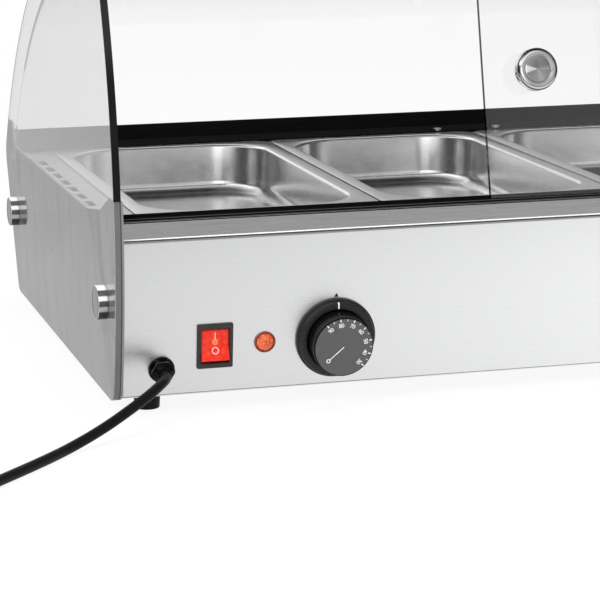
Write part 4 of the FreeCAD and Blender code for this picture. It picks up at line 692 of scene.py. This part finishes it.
def makeRocker(width, radius, angle, pivot, valley, crest, low, curve, edge, edgeAngle, markRise,
               markSink, line, ring, spot):
    half = math.sqrt(radius ** 2 - crest ** 2)

    def top(x, y, lift):
        return x, y, valley + (crest - valley) * (abs(y) / half) ** curve + lift

    heights = [low + (crest - low) * step / 8 for step in range(9)]
    side = [(math.sqrt(radius ** 2 - z * z), z) for z in heights]
    spans = [half - 2 * half * step / 24 for step in range(1, 24)]
    outline = side + [top(0, y, 0.0)[1:] for y in spans] + [(-y, z) for y, z in side[::-1]]
    matrix = panelPlace(switchShape["x"], switchShape["up"], -pivot) @ \
        Matrix.Rotation(-math.radians(angle), 4, "X")

    def ride(name, form, finish, replaced=None):
        return makePiece(name, form, finish, matrix, "rocker", True, replaced)

    rocker = ride("rocker", alongX(outline, -width / 2, width / 2), "redRocker",
                  "switch_rocker")
    setAll(rocker.modifiers.new("edges", "BEVEL"), width=edge / 1000, segments=3,
           limit_method="ANGLE", angle_limit=math.radians(edgeAngle))

    stroke = line["width"] / 2
    ends = [line["centre"] + line["height"] * (step / 8 - 0.5) for step in range(9)]
    ride("rockerLineMark",
         loftRings([[top(-stroke, y, markRise), top(stroke, y, markRise),
                     top(stroke, y, -markSink), top(-stroke, y, -markSink)] for y in ends],
                   True), "markPink")
    outer, inner = ring["radius"], ring["radius"] - ring["stroke"]
    ride("rockerRingMark",
         loftRings([[top(reach * x, ring["centre"] + reach * y, lift)
                     for reach, lift in ((inner, markRise), (outer, markRise),
                                         (outer, -markSink), (inner, -markSink))]
                    for x, y in circle(48, 1)]), "markPink")
    ride("rockerNeonSpot",
         loftRings([[top(share * spot["radius"] * x, spot["centre"] + share * spot["radius"] * y,
                         spot["rise"] - spot["fall"] * share) for x, y in circle(32)]
                    for share in (0.0001, 0.25, 0.5, 0.75, 1.0)]), "amberGlow")


makeSwitch(**switchShape)
makeRocker(**rockerShape)
print("switch made")

# Pilot lamp: domed lens with crossed facets in a thin collar

lampShape = dict(
    x=108.4, up=34.4, radius=7.55, inner=6.3, rise=1.35, facet=1.55, facetDeep=0.5, dome=2.25,
    domeFoot=0.75, cells=44)


def makeLamp(x, up, radius, inner, rise, facet, facetDeep, dome, domeFoot, cells):
    matrix = panelPlace(x, up)
    collar = [(inner, gap), (radius, gap)] + roundCorner(radius - 0.5, rise - 0.5, 0.5, 0, 90)
    collar += [(inner + 0.2, rise), (inner, rise - 0.2), (inner, gap)]
    makePiece("lampCollar", turnedForm(collar, 64, False, False), "lampRim",
              matrix)
    edge = inner - 0.02
    points, faces, index = [], [], {}
    for row in range(cells + 1):
        for column in range(cells + 1):
            across = -edge + 2 * edge * column / cells
            along = -edge + 2 * edge * row / cells
            reach = math.hypot(across, along)
            if reach > edge + 2 * edge / cells:
                continue
            if reach > edge * 1.001:
                across, along, reach = across * edge / reach, along * edge / reach, edge
            peak = 1 - max(abs((across + along) / facet % 1.0 - 0.5),
                           abs((across - along) / facet % 1.0 - 0.5)) * 2
            fade = min(1.0, (1 - reach / edge) * 5)
            index[(row, column)] = len(points)
            points.append((across, along, domeFoot + dome * (1 - (reach / edge) ** 2)
                           + facetDeep * peak * fade))
    for row in range(cells):
        for column in range(cells):
            corners = [(row, column), (row, column + 1), (row + 1, column + 1),
                       (row + 1, column)]
            held = [index[corner] for corner in corners if corner in index]
            if len(held) >= 3:
                faces.append(tuple(held))
    makePiece("lampLens", (points, faces), "lampOrange", matrix, smooth=False,
              replaced="lamp_lens")


makeLamp(**lampShape)
print("lamp made")

# Thermostat: a turning dial with a printed scale

dialShape = dict(
    x=159.0, up=34.5, radius=21.3, back=3.5, front=22.0, hollow=7.0,
    scale={90: -37.0, 80: -8.0, 70: 21.0, 60: 49.0, 50: 78.0, 40: 107.0, 30: 135.0},
    tickEnd=20.4, tick=(2.0, 0.7), fineTick=(1.7, 0.32),
    pointer=dict(angle=228.9, end=13.0, thick=0.55, eye=14.4, eyeInner=0.95, eyeOuter=1.5),
    numberRadius=15.8, numberSize=4.15)


def onDial(angle, radius):  # clockwise from the top, seen from the front
    turn = math.radians(angle)
    return radius * math.sin(turn), radius * math.cos(turn)


def barOnDial(angle, inner, outer, thick, z):
    side = Vector(onDial(angle + 90, thick / 2))
    start, end = Vector(onDial(angle, inner)), Vector(onDial(angle, outer))
    return alongZ([start - side, start + side, end + side, end - side], z - 0.3, z)


def makeNumber(number, angle, radius, size, z, matrix):
    name = "dialNumber%d" % number
    text = bpy.data.curves.new(name, "FONT")
    setAll(text, body=str(number), size=size / 1000, space_character=0.92, extrude=0.00008,
           align_x="CENTER", align_y="CENTER", resolution_u=6)
    text.materials.append(materials["printWhite"])
    x, y = onDial(angle, radius)
    place = Matrix.Translation((x / 1000, y / 1000, z / 1000))
    piece = addObject(name, text, matrix @ place @ Matrix.Rotation(-math.radians(angle), 4, "Z"))
    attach(piece, "dial")


def makeDial(x, up, radius, back, front, hollow, scale, tickEnd, tick, fineTick, pointer,
             numberRadius, numberSize):
    matrix = panelPlace(x, up)
    profile = [(hollow, back + 1), (radius - 2.2, back + 1), (radius - 2.0, back),
               (radius - 0.2, back), (radius, back + 0.3), (radius, front - 0.8)]
    profile += roundCorner(radius - 0.8, front - 0.8, 0.8, 0, 80)
    profile += [(radius - 0.95, front - 0.02), (0.0, front - 0.02)]
    makePiece("dialBody", turnedForm(profile, 128), "dialSide", matrix, "dial",
              replaced="thermostat_dial")
    face = [(radius - 0.8, front - 0.1), (radius - 0.85, front - 0.01), (0.0, front - 0.005)]
    makePiece("dialFace", turnedForm(face, 128), "dialGrey", matrix, "dial")
    angles = sorted(scale.values())
    halfway = [(low + high) / 2 for low, high in zip(angles, angles[1:])]
    marks = [barOnDial(angle, tickEnd - long, tickEnd, thick, front)
             for some, (long, thick) in ((scale.values(), tick), (halfway, fineTick))
             for angle in some]
    marks.append(barOnDial(pointer["angle"], 0.0, pointer["end"], pointer["thick"], front))
    centreX, centreY = onDial(pointer["angle"], pointer["eye"])
    inner, outer = pointer["eyeInner"], pointer["eyeOuter"]
    marks.append(loftRings([[(centreX + reach * x, centreY + reach * y, z)
                             for reach, z in ((inner, front), (outer, front),
                                              (outer, front - 0.3), (inner, front - 0.3))]
                            for x, y in circle(32, 1)]))
    makePiece("dialMarks", joinForms(marks), "printWhite", matrix, "dial", False)
    for number, angle in scale.items():
        makeNumber(number, angle, numberRadius, numberSize, front - 0.03, matrix)


# The fixed ring round the dial, with its index, and the printed arrow above it

ringShape = dict(
    outer=27.0, inner=22.3, rise=7.0, flange=(28.6, 2.5), seat=(6.5, 1.2), edge=1.4,
    indexHalf=0.5, arrow=[(-1.7, 29.4), (1.7, 29.4), (0.0, 32.2)])


def makeDialRing(outer, inner, rise, flange, seat, edge, indexHalf, arrow):
    matrix = panelPlace(dialShape["x"], dialShape["up"])
    (wide, thick), (hole, floor) = flange, seat
    soft = outer - edge, rise - edge - 0.2  # centre of the front edge's round
    profile = [(hole, gap), (wide, gap), (wide, thick - 0.6)]
    profile += roundCorner(wide - 0.6, thick - 0.6, 0.6, 15, 90, 4)
    profile += [(outer + 0.5, thick), (outer + 0.1, thick + 0.2), (outer, thick + 0.6),
                (outer, soft[1])]
    profile += roundCorner(*soft, edge, 10, 75, 6)
    profile += [(inner + 0.6, rise - 0.05), (inner + 0.15, rise - 0.1), (inner, rise - 0.35),
                (inner, floor), (hole, floor), (hole, gap)]
    makePiece("dialRing", turnedForm(profile, 128, False, False), "ringBlack",
              matrix, replaced="thermostat_bezel")
    line = [(inner + 0.5, rise + 0.03), (outer - 1.1, rise - 0.17)]
    line += roundCorner(*soft, edge + 0.08, 70, 5, 6)
    rows = [[(-indexHalf, radius, z), (indexHalf, radius, z),
             (indexHalf, radius - 0.35, z - 0.35), (-indexHalf, radius - 0.35, z - 0.35)]
            for radius, z in line]
    for name, form, finish in (("dialIndex", loftRings(rows, True), "printWhite"),
                               ("panelArrow", alongZ(arrow, 0.01, 0.06), "blackMould")):
        makePiece(name, form, finish, matrix, smooth=False)


makeDial(**dialShape)
makeDialRing(**ringShape)
print("thermostat made")

# Gland: hexagon body and nut with rounded edges, a flange behind them and a domed mouth

glandShape = dict(
    x=35.5, up=19.5, flats=15.8, body=3.5, nut=4.0, nutStep=0.6,
    thread=dict(radius=6.0, long=8.0, pitch=1.25), flange=(9.2, 1.5), collar=(6.9, 1.2),
    mouth=3.6, mouthRim=5.1, length=10.5, lockNut=(1.2, -5.0, -1.0))


def hexForm(flats, low, high, bore, chamfer, steps=72):
    # a hexagon whose corners are turned down at both ends, with a bore
    def ring(limit, z):
        row = []
        for step, (x, y) in enumerate(circle(steps)):
            sector = 2 * math.pi * step / steps % (math.pi / 3) - math.pi / 6
            radius = min(flats / 2 / math.cos(sector), limit)
            row.append((radius * x, radius * y, z))
        return row

    full = flats / math.sqrt(3)
    limits = [(bore, low), (full - chamfer * 1.4, low), (full - chamfer * 0.5, low + 0.3),
              (full, low + chamfer), (full, high - chamfer), (full - chamfer * 0.5, high - 0.3),
              (full - chamfer * 1.4, high), (bore, high), (bore, low)]
    return loftRings([ring(limit, z) for limit, z in limits])


def makeGland(x, up, flats, body, nut, nutStep, thread, flange, collar, mouth, mouthRim, length,
              lockNut):
    matrix = panelPlace(x, up)

    def fit(name, form, replaced=None):
        return makePiece(name, form, "glandBlack", matrix, replaced=replaced)

    def turned(profile):
        return turnedForm(profile, 72, False, False)

    radius, start = thread["radius"], -thread["long"]
    threaded = [(mouth, start), (radius - 0.3, start)]
    for turn in range(int(thread["long"] / thread["pitch"])):
        z = start + 0.3 + thread["pitch"] * turn
        threaded += [(radius - 0.45, z), (radius, z + 0.5), (radius, z + 0.7)]
    threaded += [(radius - 0.3, 0.1), (mouth, 0.1), (mouth, start)]
    fit("glandBody", joinForms([hexForm(flats, gap, body, mouth, 0.5), turned(threaded)]),
        "gland_body")
    end = body + nut
    nutPiece = fit("glandNut", hexForm(flats - nutStep * math.sqrt(3), body + gap, end, mouth,
                                       0.9))
    wide, thick = flange
    fit("glandFlange", turned([(mouth, gap), (wide, gap)]
                              + roundCorner(wide - 0.5, thick - 0.5, 0.5, 0, 90)
                              + [(flats / 2 - 0.4, thick + 0.1), (mouth, thick + 0.1),
                                 (mouth, gap)]))
    wide, thick = collar
    fit("glandMouth", turned([(mouth, end - 0.5), (wide, end - 0.5), (wide, end + thick - 0.3),
                              (wide - 0.3, end + thick)]
                             + roundCorner(mouthRim - 0.7, length - 0.7, 0.7, 45, 90, 4)
                             + [(mouth + 0.35, length), (mouth, length - 0.35),
                                (mouth, end - 0.5)]))
    grow, back, front = lockNut
    fit("glandLockNut", hexForm(flats + grow * math.sqrt(3), back, front, radius + 0.05, 0.7))
    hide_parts("gland_nuts")


makeGland(**glandShape)

# Feet: rubber with a rounded edge and a recess for the screw

footShape = dict(
    places=[(30.2, 30.0), (30.2, 355.0), (735.8, 30.0), (735.8, 355.0)], bore=2.1,
    topRadius=9.6, lowRadius=8.8, recess=4.6, recessDeep=8.0, topZ=0.98, edge=0.8)


def makeFeet(places, bore, topRadius, lowRadius, recess, recessDeep, topZ, edge):
    low = -cabinet["footHeight"]
    profile = [(bore, low + recessDeep), (recess, low + recessDeep), (recess, low + 0.4),
               (recess + 0.4, low)]
    profile += roundCorner(lowRadius - edge, low + edge, edge, -90, 0)
    profile += [(topRadius - 0.05, 0.1), (topRadius - 0.2, topZ), (bore, topZ)]
    form = turnedForm(profile, 72, False, False)
    pieces = [makePiece("foot%d" % (number + 1), form, "rubber", shiftTo(x, y))
              for number, (x, y) in enumerate(places)]
    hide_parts("feet")


makeFeet(**footShape)
print("gland and feet made")

# Cord: one smooth line from the gland across the counter, into its coil and on to the plug

cordShape = dict(
    radius=3.5, length=1.815,
    lead=[(35.5, -5.55, 18.08), (35.5, -8.92, 17.66), (34.4, -15.7, 17.2),
          (28.1, -27.8, 16.8), (17.7, -36.9, 12.2), (3.0, -46.1, 5.8), (-17.2, -57.3, -2.6),
          (-42.2, -73.4, -9.5), (-65.8, -101.1, -9.5), (-90.6, -127.7, -9.5)],
    tail=[(-168.0, -212.0, -6.0)])
coilShape = dict(
    centre=(-167.0, -137.0), mean=40.0, start=-43.0, layerTurns=2.75, climbTurns=0.5, pitch=7.7,
    lift=1.0, perTurn=16, leadIn=26.0, leadOut=24.0, settle=1.5)
plugShape = dict(
    line=dict(spot=(-214.0, -222.0), heading=(-1.0, -0.12), tilt=14.0, leadIn=22.0,
              settle=2.5, straight=9.0),
    shoulder=32.0, length=46.0, radius=18.5, tailRadius=5.9, ridges=5,
    swell=[(7.5, 14.0), (9.4, 17.5), (11.7, 20.5), (14.0, 23.5), (16.2, 27.5), (17.5, 30.2)],
    ribs=28, ribDeep=0.3, pinRadius=2.4, pinLength=19.0, pinSpread=9.5)
coilTurns = 2 * coilShape["layerTurns"] + coilShape["climbTurns"]


def coilSpot(turns, swell=1.0):  # one layer inwards, a climb, and one layer outwards on top
    pitch, climb = coilShape["pitch"], coilShape["climbTurns"]
    half = coilShape["layerTurns"] * pitch / 2
    outer, inner = coilShape["mean"] + half, coilShape["mean"] - half
    low = -cabinet["footHeight"] + cordShape["radius"] + coilShape["lift"]
    past = turns - coilShape["layerTurns"]
    if past < 0:
        radius, z = outer - pitch * turns, low
    elif past > climb:
        radius, z = inner + pitch * (past - climb), low + pitch
    else:
        share = past / climb
        radius = inner - pitch * climb * share * (1 - share)
        z = low + pitch * share * share * (3 - 2 * share)
    angle = math.radians(coilShape["start"] - 360 * turns)
    x, y = coilShape["centre"]
    return Vector((x + swell * radius * math.cos(angle), y + swell * radius * math.sin(angle),
                   z))


def plugLine(line):  # where the cord enters the plug, the plug's axis and the cord's heading
    tilt = math.radians(line["tilt"])
    heading = Vector((*line["heading"], 0)).normalized()
    axis = (heading + zAxis * math.tan(tilt)).normalized()
    z = -cabinet["footHeight"] + plugShape["radius"] * math.cos(tilt) \
        - plugShape["shoulder"] * math.sin(tilt)
    return Vector((*line["spot"], z)), axis, heading


def cordPoints(lead, tail):
    perTurn = coilShape["perTurn"]
    swell = 1 / (0.75 + 0.25 * math.cos(2 * math.pi / perTurn))
    headingIn = (coilSpot(0.001) - coilSpot(0.0)).normalized()
    headingOut = (coilSpot(coilTurns) - coilSpot(coilTurns - 0.001)).normalized()
    points = [Vector(point) for point in lead]
    points.append(coilSpot(0.0) - headingIn * coilShape["leadIn"])
    points += [coilSpot((step + 0.5) / perTurn, swell)
               for step in range(int(coilTurns * perTurn))]
    points.append(coilSpot(coilTurns) + headingOut * coilShape["leadOut"]
                  - zAxis * coilShape["settle"])
    points += [Vector(point) for point in tail]
    line = plugShape["line"]
    plugEnd, axis, heading = plugLine(line)
    return points + [plugEnd - heading * line["leadIn"] - zAxis * line["settle"],
                     plugEnd - axis * line["straight"], plugEnd]


def makePlug(line, shoulder, length, radius, tailRadius, ridges, swell, ribs, ribDeep,
             pinRadius, pinLength, pinSpread):
    plugEnd, axis = plugLine(line)[:2]
    side = zAxis.cross(axis).normalized()
    matrix = shiftTo(*plugEnd) @ turnTo(side, axis.cross(side))
    profile = [(cordShape["radius"] + 0.1, 0.1), (tailRadius - 0.4, 0.1)]
    for step in range(ridges):
        z, wide = 0.8 + step * 2.6, tailRadius + 0.28 * step
        profile += [(wide - 0.7, z), (wide, z + 0.3), (wide, z + 1.6), (wide - 0.7, z + 1.9)]
    profile += swell + [(radius - 0.25, shoulder - 0.6), (radius, shoulder),
                        (radius, length - 2.2)]
    profile += roundCorner(radius - 1.2, length - 1.2, 1.2, 0, 90)
    profile += [(radius - 3.0, length), (radius - 3.2, length - 0.4), (0.0, length - 0.4)]
    points, faces = turnedForm(profile, 112)
    for index, (x, y, z) in enumerate(points):
        reach = math.hypot(x, y)
        if shoulder + 1.0 < z < length - 2.6 and reach > radius - 0.2:
            rib = ribDeep * (0.5 + 0.5 * math.cos(ribs * math.atan2(y, x)))
            points[index] = (x * (reach - rib) / reach, y * (reach - rib) / reach, z)
    plug = makePiece("plug", (points, faces), "blackMould", matrix,
                     replaced="plug_body")
    pin = [(pinRadius, 0.0), (pinRadius, pinLength - 1.5)]
    pin += roundCorner(pinRadius - 1.4, pinLength - 1.4, 1.4, 0, 90) + [(0.0, pinLength)]
    pins = []
    for x in (-pinSpread, pinSpread):
        place = Matrix.Translation((x / 1000, 0, (length - 0.4) / 1000))
        pins.append(makePiece("plugPin%d" % (len(pins) + 1), turnedForm(pin, 40), "brassMetal",
                              matrix @ place))
    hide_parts("plug_pins")
    return [plug, *pins]


tieShape = dict(angle=150.0, width=9.0, thick=0.7, slack=0.15, corner=3.6)


def makeTie(angle, width, thick, slack, corner):  # a band round all the passes of the coil
    reach = cordShape["radius"] + slack
    firstPass = (coilShape["start"] - angle) % 360 / 360
    passes = [coilSpot(firstPass + turn) for turn in range(int(coilTurns - firstPass) + 1)]
    radii = [(spot.xy - Vector(coilShape["centre"])).length for spot in passes]
    left, right = min(radii) - reach, max(radii) + reach
    low = -cabinet["footHeight"] + coilShape["lift"] - slack
    high = low + 2 * reach + coilShape["pitch"]
    inside, outside = [roundedOutline(left - grow, low - grow, right + grow, high + grow,
                                      corner + grow, 6) for grow in (0.0, thick)]
    rings = [[(x, y, z) for x, z in band]
             for band, y in ((inside, -width / 2), (outside, -width / 2), (outside, width / 2),
                             (inside, width / 2), (inside, -width / 2))]
    place = shiftTo(*coilShape["centre"]) @ Matrix.Rotation(math.radians(angle), 4, "Z")
    return makePiece("coilTie", loftRings(rings), "rubber", place)


def makeCord(radius, length, lead, tail):
    curve = bpy.data.curves.new("cord", "CURVE")
    setAll(curve, dimensions="3D", bevel_depth=radius / 1000, bevel_resolution=5,
           resolution_u=10, use_fill_caps=True)
    curve.materials.append(materials["cordSkin"])
    spline = curve.splines.new("NURBS")
    points = cordPoints(lead, tail)
    spline.points.add(len(points) - 1)
    for spot, point in zip(spline.points, points):
        spot.co = (*toFrame(*point), 1.0)
    setAll(spline, order_u=3, use_endpoint_u=True)
    cord = addObject("cord", curve)
    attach(cord, "cabinet")
    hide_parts("cord_lead", "cord_coil", "cord_tail")
    plug, *pins = makePlug(**plugShape)
    tie = makeTie(**tieShape)


makeCord(**cordShape)
print("cord made")

# Stage: pale floor, white surroundings, soft lamps, and the camera of the photograph. The tones
# seen in polished surfaces go round the horizon, from the back over left, front and right to the
# back again, and from level up to overhead.

stageLook = dict(
    floor=(2.4, 2.0, 0.25), floorShade=0.9, floorSink=0.0004, speck=(5, 4), floorGlow=0.9,
    floorAcross=(-0.5, 0.2, 0.61, 1.17), floorDeep=(-0.80, -0.50, 0.12, 1.0), worldAmbient=0.55,
    brightest=2.0,
    round=[(0.0, 0.60), (0.03, 0.58), (0.10, 0.22), (0.15, 0.02), (0.34, 0.02),
           (0.39, 0.50), (0.45, 0.95), (0.495, 0.95), (0.525, 0.24), (0.57, 0.36),
           (0.62, 0.25), (0.66, 0.04), (0.84, 0.04), (0.91, 0.18), (0.955, 0.22),
           (1.0, 0.60)],
    horizon=0.05, lowShare=0.6,
    above=[(0.0, 0.15), (0.40, 0.20), (0.47, 0.85), (0.60, 0.85), (0.67, 0.50), (0.74, 0.36),
           (0.82, 0.28), (0.90, 0.08), (1.0, 0.05)],
    aboveRound=[(0.0, 1.0), (0.55, 1.0), (0.61, 0.12), (0.88, 0.12), (0.93, 1.0), (1.0, 1.0)],
    aboveFrom=(0.32, 0.42))
lampsLook = [
    dict(name="overhead", place=(0.0, -0.1, 1.5), aim=(0, 0, 0.1), size=(1.6, 0.9), power=22),
    dict(name="keyLeft", place=(-1.3, -1.2, 1.1), aim=(0, 0, 0.1), size=(0.9, 0.9), power=20),
    dict(name="fillRight", place=(1.5, -0.9, 0.9), aim=(0, 0, 0.1), size=(0.9, 0.9), power=9),
]
cameraLook = dict(
    place=(-306.9, -1592.5, 411.2), lens=146.886, sensor=36.0, clip=(0.05, 30.0),
    right=(0.96345, -0.26778, -0.00744), up=(0.06229, 0.19693, 0.97844))
white = (1, 1, 1, 1)


def whiteForCamera(tree):
    # 1 where the background is looked at, also through glass, and 1 where it is mirrored
    seen = mathOf(tree, "MAXIMUM", rayOf(tree, "Is Camera Ray"),
                  rayOf(tree, "Is Transmission Ray"))
    return seen, mathOf(tree, "GREATER_THAN", rayOf(tree, "Glossy Depth"), 0.5)


def makeFloor():
    wide, deep, corner = (part * 1000 for part in stageLook["floor"])
    outline = roundedOutline(-wide / 2, -deep / 2, wide / 2, deep / 2, corner, 12)
    mesh = bpy.data.meshes.new("floor")
    mesh.from_pydata([(x / 1000, y / 1000, 0) for x, y in outline], [],
                     [tuple(range(len(outline)))])
    floor = addObject("floor", mesh)
    floor.location.z = -stageLook["floorSink"]
    tree = newMaterial("paleFloor")
    speck = noiseOf(tree, objectPlace(tree), *stageLook["speck"])
    tone = stageLook["floorShade"]
    plain = addNode(tree, "BsdfDiffuse", "BSDF", {
        "Color": rampOf(tree, speck, [(0.3, tone - 0.01), (0.7, tone + 0.01)])})
    seen, mirrored = whiteForCamera(tree)
    parts = partsOf(tree, addNode(tree, "TexCoord", "Object", {}))
    tint = mathOf(tree, "MULTIPLY", rangeOf(tree, parts["X"], *stageLook["floorAcross"]),
                  rangeOf(tree, parts["Y"], *stageLook["floorDeep"]))
    glow = addNode(tree, "Emission", "Emission", {
        "Color": white, "Strength": blendOf(tree, mirrored, 1.0, tint)})
    share = mathOf(tree, "MULTIPLY", mathOf(tree, "MAXIMUM", seen, mirrored),
                   stageLook["floorGlow"])
    showSurface(tree, mixOf(tree, share, plain, glow))
    mesh.materials.append(materials["paleFloor"])


def makeWorld():
    world = bpy.data.worlds.new("studio")
    bpy.context.scene.world = world
    world.use_nodes = True
    tree = world.node_tree
    tree.nodes.clear()
    parts = partsOf(tree, addNode(tree, "TexCoord", "Generated", {}))
    angle = mathOf(tree, "ARCTAN2", parts["X"], mathOf(tree, "MULTIPLY", parts["Y"], -1.0))
    turn, edge = rangeOf(tree, angle, -math.pi, math.pi), stageLook["horizon"]
    level = mathOf(tree, "MULTIPLY", rampOf(tree, turn, stageLook["round"]),
                   rangeOf(tree, parts["Z"], -edge, edge, stageLook["lowShare"], 1.0))
    above = mathOf(tree, "MULTIPLY", rampOf(tree, parts["Z"], stageLook["above"]),
                   rampOf(tree, turn, stageLook["aboveRound"]))
    tone = blendOf(tree, rangeOf(tree, parts["Z"], *stageLook["aboveFrom"]), level, above)
    mirror = mathOf(tree, "MULTIPLY", tone, stageLook["brightest"])
    ambient, polished, plain = [
        addNode(tree, "Background", "Background", {"Color": white, "Strength": strength})
        for strength in (stageLook["worldAmbient"], mirror, 1.0)]
    seen, mirrored = whiteForCamera(tree)
    shown = mixOf(tree, mirrored, mixOf(tree, seen, ambient, plain), polished)
    addNode(tree, "OutputWorld", None, {"Surface": shown})


def makeLamps():
    for look in lampsLook:
        light = bpy.data.lights.new(look["name"], "AREA")
        wide, high = look["size"]
        setAll(light, shape="RECTANGLE", size=wide, size_y=high, energy=look["power"])
        aim = Vector(look["aim"]) - Vector(look["place"])
        setAll(addObject(look["name"], light), location=look["place"],
               rotation_euler=aim.to_track_quat("-Z", "Y").to_euler(), visible_camera=False,
               visible_transmission=False, visible_glossy=False)


def makeCamera():
    data = bpy.data.cameras.new("camera")
    nearest, farthest = cameraLook["clip"]
    setAll(data, lens=cameraLook["lens"], sensor_width=cameraLook["sensor"],
           sensor_fit="AUTO", clip_start=nearest, clip_end=farthest)
    right, up = Vector(cameraLook["right"]).normalized(), Vector(cameraLook["up"])
    up = (up - right * up.dot(right)).normalized()
    bpy.context.scene.camera = addObject("camera", data,
                                         shiftTo(*cameraLook["place"]) @ turnTo(right, up))


makeFloor()
makeWorld()
makeLamps()
makeCamera()
bpy.context.scene.view_settings.view_transform = "Standard"
print("stage made")
